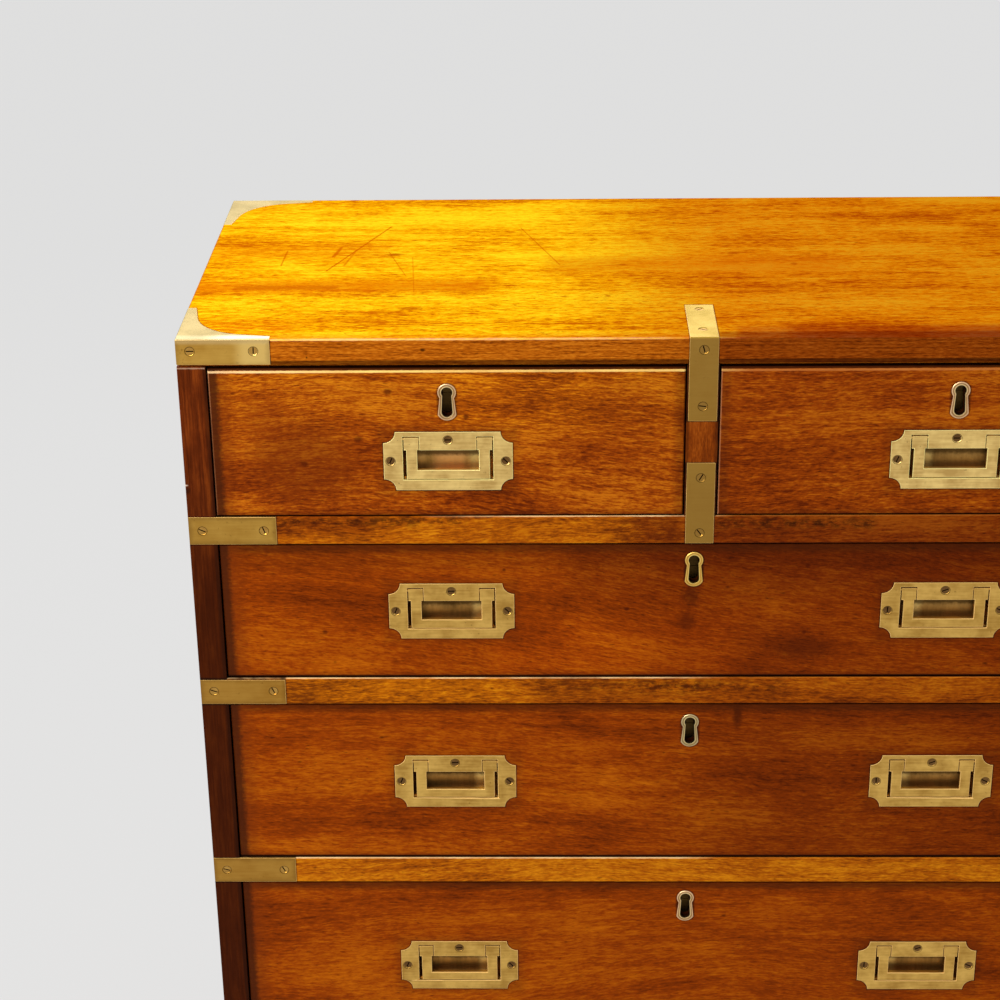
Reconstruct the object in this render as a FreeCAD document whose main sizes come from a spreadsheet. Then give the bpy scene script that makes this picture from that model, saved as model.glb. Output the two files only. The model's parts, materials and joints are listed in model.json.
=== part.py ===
"""Campaign chest: two short drawers over three long ones, bound in brass.

Millimetres. X is the width, -Y the front, +Z up; the origin is on the floor under the
middle of the chest. Every size hangs on the cells of the sheet named Dimensions.
"""
import FreeCAD, Part
import os
import re

from FreeCAD import Placement, Rotation, Vector

DIMENSIONS = {
    # carcase
    "chest_width": 914.4,
    "chest_depth": 410,
    "chest_height": 874,
    "top_thickness": 25.5,
    "base_thickness": 27,
    "side_thickness": 25,
    "back_thickness": 12,
    "divider_width": 28,
    "rail_height": 27,
    "rail_depth": 70,
    "quirk_height": 2,
    "quirk_depth": 3.5,
    "board_arris": 1.6,
    "joinery_arris": 0.9,
    # heights of the drawer openings' floors above the ground
    "bottom_row_floor": 122,
    "third_row_floor": 345,
    "second_row_floor": 541,
    "top_row_floor": 705,
    # runners, dust boards and stops inside the carcase
    "runner_width": 30,
    "centre_runner_width": 96,
    "guide_height": 36,
    "dust_board_thickness": 8,
    "stop_length": 44,
    "stop_depth": 12,
    "stop_height": 6,
    "stop_inset": 90,
    "stop_clearance": 0.3,
    # feet
    "foot_inset": 56,
    "foot_sole_radius": 15,
    "foot_toe_radius": 20,
    "foot_toe_top": 9.5,
    "foot_bun_radius": 38,
    "foot_bun_middle": 31.5,
    "foot_bun_top": 55,
    "foot_shoulder_radius": 25,
    "foot_neck_radius": 21,
    "foot_neck_low": 62,
    "foot_bead_radius": 27,
    "foot_bead_middle": 67.5,
    "foot_bead_top": 73,
    "foot_cove_radius": 22,
    "foot_cove_low": 78,
    "foot_collar_radius": 31.5,
    "foot_collar_height": 11,
    "foot_peg_radius": 14,
    "foot_peg_length": 23,
    # brass bindings
    "brass_thickness": 2,
    "brass_arris": 0.9,
    "bracket_leg": 82,
    "bracket_tip": 8,
    "bracket_taper_end": 55,
    "bracket_taper_width": 12.7,
    "bracket_throat": 27.2,
    "binding_screw_near": 12.4,
    "binding_screw_far": 67.6,
    "binding_screw_side_near": 21.5,
    "bracket_screw_lift": 0.8,
    "divider_screw_near": 21,
    "divider_screw_far": 73,
    "strap_leg": 79,
    "strap_side_leg": 79,
    "strap_height": 25.4,
    "divider_strap_top": 84,
    "divider_strap_drop": 78,
    "divider_strap_rise": 51.5,
    # screws
    "screw_head_radius": 4.15,
    "screw_head_depth": 2.4,
    "screw_sink": 0.5,
    "screw_shank_radius": 1.9,
    "screw_length": 14,
    "screw_slot_width": 1.1,
    "screw_slot_depth": 0.8,
    "screw_clearance": 0.05,
    # drawers
    "front_thickness": 20,
    "front_side_gap": 1.3,
    "front_bottom_gap": 0.8,
    "top_front_gap": 2,
    "long_front_gap": 1.5,
    "top_front_recess": 1,
    "long_front_recess": 1.6,
    "front_arris": 1.6,
    "drawer_side_thickness": 10,
    "drawer_side_drop": 3,
    "drawer_back_drop": 14,
    "drawer_rear_gap": 8,
    "bottom_thickness": 6,
    "bottom_rise": 10,
    "tail_length": 14,
    "tail_root_gap": 0.16,
    "tail_tip_gap": 0.26,
    "handle_offset": 223,
    "top_handle_rise": 53.5,
    "long_key_offset": -3.9,
    "top_key_drop": 24.8,
    "second_key_drop": 17.4,
    "third_key_drop": 20.3,
    "bottom_key_drop": 19,
    # flush handles, measured from the middle of the plate
    "drawer_handle_scale": 1,
    "carry_handle_scale": 1.3,
    "carry_handle_height": 600,
    "plate_width": 114.2,
    "plate_height": 56,
    "plate_thickness": 2.5,
    "plate_proud": 0.2,
    "scallop_radius": 10.6,
    "pan_depth": 14,
    "pan_wall": 2,
    "pan_half_width": 39.9,
    "pan_top": 10.4,
    "pan_bottom": 18,
    "lug_pocket_inner": 25.2,
    "lug_pocket_top": 23.4,
    "lug_pocket_depth": 6.5,
    "lug_wall": 3,
    "bail_thickness": 4,
    "bail_lug_outer": 39.1,
    "bail_lug_inner": 25.7,
    "bail_lug_top": 22.4,
    "bail_arm_outer": 36.9,
    "bail_arm_inner": 27.2,
    "bail_bar_top": 8.6,
    "bail_bar_bottom": 17.3,
    "pivot_height": 20.2,
    "pivot_depth": 2.2,
    "pivot_radius": 1.2,
    "pivot_clearance": 0.05,
    "pivot_reach": 2.2,
    "plate_screw_side": 50.9,
    "plate_screw_top": 20.2,
    # keyholes
    "escutcheon_thickness": 2.5,
    "escutcheon_proud": 1,
    "escutcheon_arris": 0.7,
    "escutcheon_head": 8.35,
    "escutcheon_waist_half": 6.55,
    "escutcheon_waist_drop": 5.2,
    "escutcheon_flare_drop": 21.2,
    "escutcheon_drop": 26.4,
    "keyhole_head": 4.6,
    "keyhole_waist_half": 3.7,
    "keyhole_waist_drop": 2.73,
    "keyhole_foot_half": 4.5,
    "keyhole_foot_drop": 18.3,
    "keyhole_drop": 22.8,
    "keyhole_depth": 14.8,
    # locks
    "lock_width": 60,
    "lock_height": 50,
    "lock_depth": 11,
    "cap_width": 76,
    "cap_thickness": 1.5,
    "selvedge_width": 70,
    "selvedge_depth": 13,
    "selvedge_thickness": 2,
    "key_space_width": 30,
    "key_space_depth": 4,
    "key_space_height": 46,
    "bolt_head_width": 24,
    "bolt_head_height": 16,
    "bolt_width": 34,
    "bolt_height": 12,
    "bolt_thickness": 4,
    "bolt_clearance": 0.3,
    "bolt_travel": 8,
    "mortise_margin": 1,
    "lock_screw_inset": 4.5,
    "lock_screw_rise": 8,
}

TAILS = 4
BACK_BOARDS = 3
# how far each screw of the divider's straps is below the top's surface
DIVIDER_SCREW_DROPS = (11.5, 64, 132, 185.7)
# degrees between one screw's slot and the next one's
SLOT_TURN = 67
# how far outside a part's box a screw may end and still count as reaching it
SCREW_MARGIN = 0.5
SAME_PLANE = 1e-4
LEFT_EDGE = "-chest_width / 2"
FRONT_FACE = "-chest_depth / 2"
TOP_UNDERSIDE = "chest_height - top_thickness"
CARCASE_INNER_LEFT = "-chest_width / 2 + side_thickness"
CARCASE_INNER_RIGHT = "chest_width / 2 - side_thickness"
BACK_INNER = "chest_depth / 2 - back_thickness"
RAIL_BACK = "-chest_depth / 2 + rail_depth"
RAIL_ROWS = ("third_row", "second_row", "top_row")

document = FreeCAD.newDocument("CampaignChest")
sheet = document.addObject("Spreadsheet::Sheet", "Dimensions")
nodes = []


def fill_sheet():
    for row, (alias, number) in enumerate(DIMENSIONS.items(), start=1):
        sheet.set(f"A{row}", alias)
        sheet.set(f"B{row}", str(number))
        sheet.setAlias(f"B{row}", alias)
    document.recompute()


def size(alias):
    """The number in one cell of the sheet."""
    return float(getattr(sheet, alias))


def formula(text):
    """Write the aliases in a text as references to the sheet's cells."""
    def cell(word):
        name = word.group()
        return f"Dimensions.{name}" if name in DIMENSIONS else name
    return re.sub(r"[a-z_]+", cell, text)


def bind(feature, sizes):
    for name, text in sizes.items():
        feature.setExpression(name, formula(text))


def put(feature, x, y, z):
    bind(feature, {"Placement.Base.x": x, "Placement.Base.y": y, "Placement.Base.z": z})
    return feature


# ---- building blocks ------------------------------------------------------------------

def block(name, start, end):
    """A box between two corners, each a triple of texts over the sheet's aliases."""
    solid = document.addObject("Part::Box", name)
    lengths = (f"({high}) - ({low})" for low, high in zip(start, end))
    bind(solid, dict(zip(("Length", "Width", "Height"), lengths)))
    return put(solid, *start)


def rod(name, start, radius, length, axis=Vector(0, 0, 1)):
    """A cylinder from a point along an axis."""
    solid = document.addObject("Part::Cylinder", name)
    solid.Placement = Placement(Vector(), Rotation(Vector(0, 0, 1), axis))
    bind(solid, {"Radius": radius, "Height": length})
    return put(solid, *start)


def fuse(name, pieces):
    joined = document.addObject("Part::MultiFuse", name)
    joined.Shapes = pieces
    joined.Refine = True
    return joined


def group(name, pieces):
    together = document.addObject("Part::Compound", name)
    together.Links = pieces
    return together


def cut(name, base, tools):
    """Cut tools that don't touch each other out of a base."""
    tool = tools[0] if len(tools) == 1 else group(f"{name}_tools", tools)
    result = document.addObject("Part::Cut", name)
    result.Base = base
    result.Tool = tool
    return result


def rounded(name, base, radius, wanted):
    """Round the edges for which wanted(edge) is true."""
    document.recompute()
    soft = document.addObject("Part::Fillet", name)
    soft.Base = base
    amount = size(radius)
    soft.Edges = [(number, amount, amount)
                  for number, edge in enumerate(base.Shape.Edges, start=1) if wanted(edge)]
    return soft


def mirrored(name, source, normal):
    twin = document.addObject("Part::Mirroring", name)
    twin.Source = source
    twin.Normal = normal
    return twin


def in_plane(edge, axis, place):
    """True where a whole edge lies in the plane at that place on the axis."""
    box = edge.BoundBox
    low, high = (getattr(box, axis + end) for end in ("Min", "Max"))
    return abs(low - place) < SAME_PLANE and abs(high - place) < SAME_PLANE


def node(feature, label):
    """Keep a feature as one sub-part, named by its label."""
    feature.Label = label
    nodes.append(feature)
    return feature


def line(start, end):
    return Part.LineSegment(Vector(*start, 0), Vector(*end, 0))


def arc(start, middle, end):
    return Part.Arc(Vector(*start, 0), Vector(*middle, 0), Vector(*end, 0))


# ---- carcase boards -------------------------------------------------------------------

def top_blank():
    """The top board, with a narrow quirk along its lower edge at the front and both ends."""
    start = (LEFT_EDGE, FRONT_FACE, TOP_UNDERSIDE)
    board = block("top_blank", start, ("chest_width / 2", "chest_depth / 2", "chest_height"))
    eased = rounded("top_eased", board, "board_arris",
                    lambda edge: in_plane(edge, "Z", size("chest_height")))
    quirk_back, quirk_top = f"{FRONT_FACE} + quirk_depth", f"{TOP_UNDERSIDE} + quirk_height"
    front = block("top_quirk_front", start, ("chest_width / 2", quirk_back, quirk_top))
    left = block("top_quirk_left", (LEFT_EDGE, quirk_back, TOP_UNDERSIDE),
                 (f"{LEFT_EDGE} + quirk_depth", "chest_depth / 2", quirk_top))
    right = block("top_quirk_right", ("chest_width / 2 - quirk_depth", quirk_back, TOP_UNDERSIDE),
                  ("chest_width / 2", "chest_depth / 2", quirk_top))
    return cut("top_quirked", eased, [fuse("top_quirk", [front, left, right])])


def base_blank():
    """The board under the bottom drawer, eased round its lower edge."""
    underside = size("bottom_row_floor") - size("base_thickness")
    board = block("base_blank", (LEFT_EDGE, FRONT_FACE, "bottom_row_floor - base_thickness"),
                  ("chest_width / 2", "chest_depth / 2", "bottom_row_floor"))
    return rounded("base_eased", board, "board_arris", lambda edge: in_plane(edge, "Z", underside))


def long_front_edge(edge):
    """True for a rail's or a divider's long edges at the chest's face."""
    return in_plane(edge, "Y", -size("chest_depth") / 2) and edge.Length > size("rail_depth")


def rail_blank(row):
    """A drawer rail, its top face level with the row's floor."""
    rail = block(f"{row}_rail_blank", (CARCASE_INNER_LEFT, FRONT_FACE, f"{row}_floor - rail_height"),
                 (CARCASE_INNER_RIGHT, RAIL_BACK, f"{row}_floor"))
    return rounded(f"{row}_rail_eased", rail, "joinery_arris", long_front_edge)


def divider_blank():
    divider = block("divider_blank", ("-divider_width / 2", FRONT_FACE, "top_row_floor"),
                    ("divider_width / 2", RAIL_BACK, TOP_UNDERSIDE))
    return rounded("divider_eased", divider, "joinery_arris", long_front_edge)


def side_board(name, left, right, outside):
    """One side board; its outer front and back arrises are eased."""
    board = block(f"{name}_blank", (left, FRONT_FACE, "bottom_row_floor"),
                  (right, "chest_depth / 2", TOP_UNDERSIDE))
    return rounded(f"{name}_eased", board, "joinery_arris",
                   lambda edge: in_plane(edge, "X", outside) and edge.BoundBox.ZLength > size("chest_depth"))


def back_boards():
    """Boards across the back, one above the other."""
    boards = []
    height = f"({TOP_UNDERSIDE} - bottom_row_floor) / {BACK_BOARDS}"
    for number in range(BACK_BOARDS):
        low = f"bottom_row_floor + {height} * {number} + joinery_arris / 2"
        high = f"bottom_row_floor + {height} * {number + 1} - joinery_arris / 2"
        boards.append(block(f"back_board_{number}", (CARCASE_INNER_LEFT, BACK_INNER, low),
                            (CARCASE_INNER_RIGHT, "chest_depth / 2", high)))
    node(group("back_boards", boards), "back_boards")


def drawer_runners():
    """Runners along both sides at each rail, and the shared runner and guide behind the divider."""
    runners = []
    inner_left, inner_right = f"{CARCASE_INNER_LEFT} + runner_width", f"{CARCASE_INNER_RIGHT} - runner_width"
    for row in RAIL_ROWS:
        low, high = f"{row}_floor - rail_height", f"{row}_floor"
        runners.append(block(f"{row}_runner_left", (CARCASE_INNER_LEFT, RAIL_BACK, low),
                             (inner_left, BACK_INNER, high)))
        runners.append(block(f"{row}_runner_right", (inner_right, RAIL_BACK, low),
                             (CARCASE_INNER_RIGHT, BACK_INNER, high)))
    runners.append(block("centre_runner",
                         ("-centre_runner_width / 2", RAIL_BACK, "top_row_floor - rail_height"),
                         ("centre_runner_width / 2", BACK_INNER, "top_row_floor")))
    runners.append(block("centre_guide", ("-divider_width / 2", RAIL_BACK, "top_row_floor"),
                         ("divider_width / 2", BACK_INNER, "top_row_floor + guide_height")))
    node(group("drawer_runners", runners), "drawer_runners")


def dust_boards():
    """Thin boards between the runners, which close each row off from the one below."""
    runner_left = f"{CARCASE_INNER_LEFT} + runner_width"
    runner_right = f"{CARCASE_INNER_RIGHT} - runner_width"
    spans = [(row, runner_left, runner_right) for row in RAIL_ROWS[:2]]
    spans += [("top_row", runner_left, "-centre_runner_width / 2"),
              ("top_row", "centre_runner_width / 2", runner_right)]
    boards = []
    for number, (row, left, right) in enumerate(spans):
        middle = f"{row}_floor - rail_height / 2"
        boards.append(block(f"dust_board_{number}", (left, RAIL_BACK, f"{middle} - dust_board_thickness / 2"),
                            (right, BACK_INNER, f"{middle} + dust_board_thickness / 2")))
    node(group("dust_boards", boards), "dust_boards")


def foot_profile():
    """Half of a turned foot's outline: toe, flattened bun, neck with a bead, collar and peg."""
    height = size("bottom_row_floor") - size("base_thickness")
    collar_low, peg_top = height - size("foot_collar_height"), height + size("foot_peg_length")
    sole = (size("foot_sole_radius"), 0)
    toe = (size("foot_toe_radius"), size("foot_toe_top"))
    bun = (size("foot_bun_radius"), size("foot_bun_middle"))
    shoulder = (size("foot_shoulder_radius"), size("foot_bun_top"))
    neck = (size("foot_neck_radius"), size("foot_neck_low"))
    bead = (size("foot_bead_radius"), size("foot_bead_middle"))
    bead_top = (size("foot_cove_radius"), size("foot_bead_top"))
    cove = (size("foot_cove_radius"), size("foot_cove_low"))
    collar = (size("foot_collar_radius"), collar_low)
    hollow = ((cove[0] + collar[0]) / 2 - 1, (cove[1] + collar[1]) / 2 + 1)
    peg = (size("foot_peg_radius"), height)
    return [line((0, 0), sole), line(sole, toe), arc(toe, bun, shoulder),
            line(shoulder, neck), arc(neck, bead, bead_top), line(bead_top, cove),
            arc(cove, hollow, collar), line(collar, (collar[0], height)),
            line((collar[0], height), peg), line(peg, (peg[0], peg_top)),
            line((peg[0], peg_top), (0, peg_top)), line((0, peg_top), (0, 0))]


def foot(number, across, along):
    """A turned foot with the peg that plugs into the base board."""
    body = document.addObject("PartDesign::Body", f"foot_{number}")
    profile = body.newObject("Sketcher::SketchObject", f"foot_profile_{number}")
    upright = next(plane for plane in body.Origin.OriginFeatures if plane.Role == "XZ_Plane")
    profile.AttachmentSupport = [(upright, "")]
    profile.MapMode = "FlatFace"
    profile.addGeometry(foot_profile(), False)
    turned = body.newObject("PartDesign::Revolution", f"foot_turned_{number}")
    turned.Profile = profile
    turned.ReferenceAxis = (profile, ["V_Axis"])
    turned.Angle = 360
    return put(body, f"{across} * (chest_width / 2 - foot_inset)",
               f"{along} * (chest_depth / 2 - foot_inset)", "0")


def feet():
    """Four feet, and the holes that their pegs need in the base board."""
    turned, holes = [], []
    for number, (across, along) in enumerate(((-1, -1), (1, -1), (-1, 1), (1, 1))):
        turned.append(foot(number, across, along))
        holes.append(rod(f"foot_hole_{number}",
                         (f"{across} * (chest_width / 2 - foot_inset)",
                          f"{along} * (chest_depth / 2 - foot_inset)", "bottom_row_floor - base_thickness"),
                         "foot_peg_radius + screw_clearance", "foot_peg_length"))
    node(group("feet", turned), "feet")
    return holes


# ---- brass bindings -------------------------------------------------------------------

def bracket_plate(name, level):
    """The flat plate of a corner bracket, its inner edge a concave sweep between two legs."""
    leg, tip = size("bracket_leg"), size("bracket_tip")
    bend, width, throat = (size("bracket_taper_end"), size("bracket_taper_width"), size("bracket_throat"))
    curves = [line((0, 0), (leg, 0)), line((leg, 0), (leg, tip)), line((leg, tip), (bend, width)),
              arc((bend, width), (throat, throat), (width, bend)),
              line((width, bend), (tip, leg)), line((tip, leg), (0, leg)), line((0, leg), (0, 0))]
    body = document.addObject("PartDesign::Body", name)
    sketch = body.newObject("Sketcher::SketchObject", f"{name}_outline")
    ground = next(plane for plane in body.Origin.OriginFeatures if plane.Role == "XY_Plane")
    sketch.AttachmentSupport = [(ground, "")]
    sketch.MapMode = "FlatFace"
    sketch.addGeometry(curves, False)
    pad = body.newObject("PartDesign::Pad", f"{name}_pad")
    pad.Profile = sketch
    bind(pad, {"Length": "brass_thickness"})
    return put(body, LEFT_EDGE, FRONT_FACE, level)


def corner_bracket(name, plate_level, strip_low, strip_high):
    """The three-way bracket of the front left corner, at the top or at the base."""
    plate = bracket_plate(f"{name}_plate", plate_level)
    front = block(f"{name}_front", (LEFT_EDGE, FRONT_FACE, strip_low),
                  (f"{LEFT_EDGE} + bracket_leg", f"{FRONT_FACE} + brass_thickness", strip_high))
    side = block(f"{name}_side", (LEFT_EDGE, FRONT_FACE, strip_low),
                 (f"{LEFT_EDGE} + brass_thickness", f"{FRONT_FACE} + bracket_leg", strip_high))
    joined = fuse(f"{name}_joined", [plate, front, side])
    document.recompute()
    box = joined.Shape.BoundBox
    outer_level = box.ZMax if "top" in name else box.ZMin

    def outer_arris(edge):
        on_left, on_front = in_plane(edge, "X", box.XMin), in_plane(edge, "Y", box.YMin)
        on_level = in_plane(edge, "Z", outer_level)
        return on_left + on_front + on_level == 2 and edge.Length > size("brass_thickness") * 2

    return rounded(f"{name}_soft", joined, "brass_arris", outer_arris), joined


def four_corners(name, front_left):
    """A piece of the front left corner and its three mirror images."""
    front_right = mirrored(f"{name}_front_right", front_left, Vector(1, 0, 0))
    back_left = mirrored(f"{name}_back_left", front_left, Vector(0, 1, 0))
    back_right = mirrored(f"{name}_back_right", front_right, Vector(0, 1, 0))
    return [front_left, front_right, back_left, back_right]


def both_ends(name, left_end):
    """A piece of the left end and its mirror image at the right."""
    return [left_end, mirrored(f"{name}_right", left_end, Vector(1, 0, 0))]


def rail_strap(row, height):
    """The strap round the left end of a rail, standing on the rail's lower edge."""
    low, high = f"{row}_floor - rail_height", f"{row}_floor - rail_height + {height}"
    front = block(f"{row}_strap_front", (LEFT_EDGE, FRONT_FACE, low),
                  (f"{LEFT_EDGE} + strap_leg", f"{FRONT_FACE} + brass_thickness", high))
    side = block(f"{row}_strap_side", (LEFT_EDGE, FRONT_FACE, low),
                 (f"{LEFT_EDGE} + brass_thickness", f"{FRONT_FACE} + strap_side_leg", high))
    joined = fuse(f"{row}_strap_joined", [front, side])
    left, front_face = -size("chest_width") / 2, -size("chest_depth") / 2
    soft = rounded(f"{row}_strap_soft", joined, "brass_arris",
                   lambda edge: in_plane(edge, "X", left) and in_plane(edge, "Y", front_face))
    return soft, joined


def divider_strap():
    """The strap over the top's front edge and down the divider."""
    left, right = "-strap_height / 2", "strap_height / 2"
    top = block("divider_strap_top_leg", (left, FRONT_FACE, "chest_height - brass_thickness"),
                (right, f"{FRONT_FACE} + divider_strap_top", "chest_height"))
    front = block("divider_strap_front_leg", (left, FRONT_FACE, "chest_height - divider_strap_drop"),
                  (right, f"{FRONT_FACE} + brass_thickness", "chest_height"))
    joined = fuse("divider_strap_joined", [top, front])
    front_face, level = -size("chest_depth") / 2, size("chest_height")
    soft = rounded("divider_strap_upper", joined, "brass_arris",
                   lambda edge: in_plane(edge, "Y", front_face) and in_plane(edge, "Z", level))
    return soft, joined


def divider_foot_strap():
    """The flat strap that ties the divider to the rail under it."""
    back, top = f"{FRONT_FACE} + brass_thickness", "top_row_floor + divider_strap_rise"
    return block("divider_strap_lower", ("-strap_height / 2", FRONT_FACE, "top_row_floor - rail_height"),
                 ("strap_height / 2", back, top))


# ---- screws ---------------------------------------------------------------------------

def screw_shape(shank, length, head, head_level):
    """A countersunk screw that points down, its head's flat top at that level."""
    depth = size("screw_head_depth")
    cone = Part.makeCone(shank, head, depth + head_level, Vector(0, 0, -depth))
    stem = Part.makeCylinder(shank, length - depth, Vector(0, 0, -length))
    return cone.fuse(stem).removeSplitter()


def slotted_screw():
    """The screw itself, its slotted head sunk a little below the brass."""
    shank, head, sink = size("screw_shank_radius"), size("screw_head_radius"), size("screw_sink")
    sunk_head = head - (head - shank) * sink / size("screw_head_depth")
    solid = screw_shape(shank, size("screw_length"), sunk_head, -sink)
    width, deep = size("screw_slot_width"), size("screw_slot_depth") + sink
    slot = Part.makeBox(4 * head, width, deep, Vector(-2 * head, -width / 2, -deep))
    return solid.cut(slot).Solids[0]


def screw_bore():
    """The countersunk bore that takes the screw."""
    gap = size("screw_clearance")
    return screw_shape(size("screw_shank_radius") + gap, size("screw_length") + gap,
                       size("screw_head_radius") + gap, 0).Solids[0]


def placed(model, seats):
    """Copies of a screw or bore at seats of (head centre, direction that the head faces)."""
    copies = []
    for number, (centre, facing) in enumerate(seats):
        turn = Rotation(Vector(0, 0, 1), facing) * Rotation(Vector(0, 0, 1), number * SLOT_TURN % 180)
        copies.append(model.copy())
        copies[-1].Placement = Placement(centre, turn)
    return copies


def screw_group(name, seats):
    screws = document.addObject("Part::Feature", name)
    screws.Shape = Part.makeCompound(placed(slotted_screw(), seats))
    return screws


def screw_holes(name, seats):
    holes = document.addObject("Part::Feature", name)
    holes.Shape = Part.makeCompound(placed(screw_bore(), seats))
    return holes


def binding_seats():
    """Where the binding screws sit: two in each leg that lies on an edge."""
    half_width, half_depth = size("chest_width") / 2, size("chest_depth") / 2
    height, base = size("chest_height"), size("bottom_row_floor")
    near, far = size("binding_screw_near"), size("binding_screw_far")
    side_near = size("binding_screw_side_near")
    top_level = height - (size("top_thickness") - size("quirk_height")) / 2 + size("bracket_screw_lift")
    levels = [(top_level, True), (base - size("base_thickness") / 2, True)]
    for row in RAIL_ROWS:
        levels.append((size(f"{row}_floor") - size("rail_height") / 2, False))
    seats = []
    for level, has_back in levels:
        for across in (-1, 1):
            for reach, side_reach in ((near, side_near), (far, far)):
                front_x, side_y = half_width - reach, half_depth - side_reach
                seats.append((Vector(across * front_x, -half_depth, level), Vector(0, -1, 0)))
                seats.append((Vector(across * half_width, -side_y, level), Vector(across, 0, 0)))
                if has_back:
                    seats.append((Vector(across * front_x, half_depth, level), Vector(0, 1, 0)))
                    seats.append((Vector(across * half_width, side_y, level), Vector(across, 0, 0)))
    for reach in (size("divider_screw_near"), size("divider_screw_far")):
        seats.append((Vector(0, -half_depth + reach, height), Vector(0, 0, 1)))
    for drop in DIVIDER_SCREW_DROPS:
        seats.append((Vector(0, -half_depth, height - drop), Vector(0, -1, 0)))
    return seats


def seats_near(seats, feature):
    """The seats whose screws reach into a feature."""
    document.recompute()
    reach = feature.Shape.BoundBox
    reach.enlarge(SCREW_MARGIN)
    return [seat for seat in seats
            if reach.isInside(seat[0]) or reach.isInside(seat[0] - seat[1] * size("screw_length"))]


# ---- flush handles --------------------------------------------------------------------

def handle_blocks(name, scale):
    """The plate with its four scalloped corners, and the blocks behind it, not yet hollow."""
    half_width, half_height = f"plate_width / 2 * {scale}", f"plate_height / 2 * {scale}"
    sheet_blank = block(f"{name}_sheet", (f"-({half_width})", "0", f"-({half_height})"),
                        (half_width, f"plate_thickness * {scale}", half_height))
    scallops = []
    for across in (-1, 1):
        for upward in (-1, 1):
            corner = (f"{across} * {half_width}", "0", f"{upward} * {half_height}")
            scallops.append(rod(f"{name}_scallop", corner, f"scallop_radius * {scale}",
                                f"plate_thickness * {scale}", Vector(0, 1, 0)))
    plate = cut(f"{name}_scalloped", sheet_blank, scallops)
    outer = f"(pan_half_width + lug_wall) * {scale}"
    inner = f"(lug_pocket_inner - lug_wall) * {scale}"
    pan = block(f"{name}_pan", (f"-{outer}", "0", f"-(pan_bottom + pan_wall) * {scale}"),
                (outer, f"pan_depth * {scale}", f"(pan_top + pan_wall) * {scale}"))
    low, high = f"pan_top * {scale}", f"(lug_pocket_top + pan_wall) * {scale}"
    deep = f"(lug_pocket_depth + pan_wall) * {scale}"
    left = block(f"{name}_lug_left", (f"-{outer}", "0", low), (f"-{inner}", deep, high))
    right = block(f"{name}_lug_right", (inner, "0", low), (outer, deep, high))
    return fuse(f"{name}_blocks", [plate, pan, left, right])


def handle_housing(name, scale):
    """What the wood loses to a flush handle."""
    return handle_blocks(f"{name}_housing", scale)


def handle_plate(name, scale):
    """The plate cast with its pan, open at the front, with pockets and pin holes for the bail."""
    blocks = handle_blocks(name, scale)
    side = f"pan_half_width * {scale}"
    pan = block(f"{name}_pan_hollow", (f"-{side}", "0", f"-pan_bottom * {scale}"),
                (side, f"(pan_depth - pan_wall) * {scale}", f"pan_top * {scale}"))
    hollows = [pan]
    for across, hand in ((-1, "left"), (1, "right")):
        inner, outer = f"lug_pocket_inner * {scale}", f"pan_half_width * {scale}"
        low, high = (f"-{outer}", f"-{inner}") if across < 0 else (inner, outer)
        hollows.append(block(f"{name}_pocket_{hand}", (low, "0", "0"),
                             (high, f"lug_pocket_depth * {scale}", f"lug_pocket_top * {scale}")))
        start = f"{low} - pivot_reach * {scale} - pivot_clearance"
        hollows.append(rod(f"{name}_pin_hole_{hand}",
                           (start, f"pivot_depth * {scale}", f"pivot_height * {scale}"),
                           f"(pivot_radius + pivot_clearance) * {scale}",
                           f"({high}) - ({low}) + 2 * (pivot_reach * {scale} + pivot_clearance)",
                           Vector(1, 0, 0)))
    return cut(f"{name}_hollowed", blocks, [fuse(f"{name}_hollows", hollows)])


def bail(name, scale):
    """The drop handle: two lugs, two arms, the grip bar, and the pins that it swings on."""
    thick = f"bail_thickness * {scale}"
    bar_top = f"-bail_bar_top * {scale}"
    lug_low = f"pan_top * {scale}"
    pieces = []
    for across, hand in ((-1, "left"), (1, "right")):
        def span(near, far):
            """Two places across the handle on this hand's side, the lower one first."""
            if across < 0:
                return f"-{far} * {scale}", f"-{near} * {scale}"
            return f"{near} * {scale}", f"{far} * {scale}"
        low, high = span("bail_lug_inner", "bail_lug_outer")
        lug_end = (high, thick, f"bail_lug_top * {scale}")
        pieces.append(block(f"{name}_lug_{hand}", (low, "0", lug_low), lug_end))
        start = (f"{low} - pivot_reach * {scale}", f"pivot_depth * {scale}", f"pivot_height * {scale}")
        pieces.append(rod(f"{name}_pin_{hand}", start, f"pivot_radius * {scale}",
                          f"({high}) - ({low}) + 2 * pivot_reach * {scale}", Vector(1, 0, 0)))
        low, high = span("bail_arm_inner", "bail_arm_outer")
        pieces.append(block(f"{name}_arm_{hand}", (low, "0", bar_top), (high, thick, lug_low)))
    side = f"bail_arm_outer * {scale}"
    bar_start = (f"-{side}", "0", f"-bail_bar_bottom * {scale}")
    pieces.append(block(f"{name}_bar", bar_start, (side, thick, bar_top)))
    return fuse(f"{name}_joined", pieces)


def plate_seats(placement, scale):
    """The three screws of a plate: one over the bail and one at each end."""
    side, top = size("plate_screw_side") * scale, size("plate_screw_top") * scale
    facing = placement.Rotation.multVec(Vector(0, -1, 0))
    places = (Vector(0, 0, top), Vector(-side, 0, 0), Vector(side, 0, 0))
    return [(placement.multVec(place), facing) for place in places]


# ---- keyholes and locks ---------------------------------------------------------------

def keyhole_curves(head, waist_half, waist_drop, foot_half, foot_drop, drop):
    """A keyhole's outline about its head's centre: round head, waist, flared foot."""
    waist_left, waist_right = (-waist_half, -waist_drop), (waist_half, -waist_drop)
    foot_left, foot_right = (-foot_half, -foot_drop), (foot_half, -foot_drop)
    return [arc(waist_right, (0, head), waist_left), line(waist_left, foot_left),
            arc(foot_left, (0, -drop), foot_right), line(foot_right, waist_right)]


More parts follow.
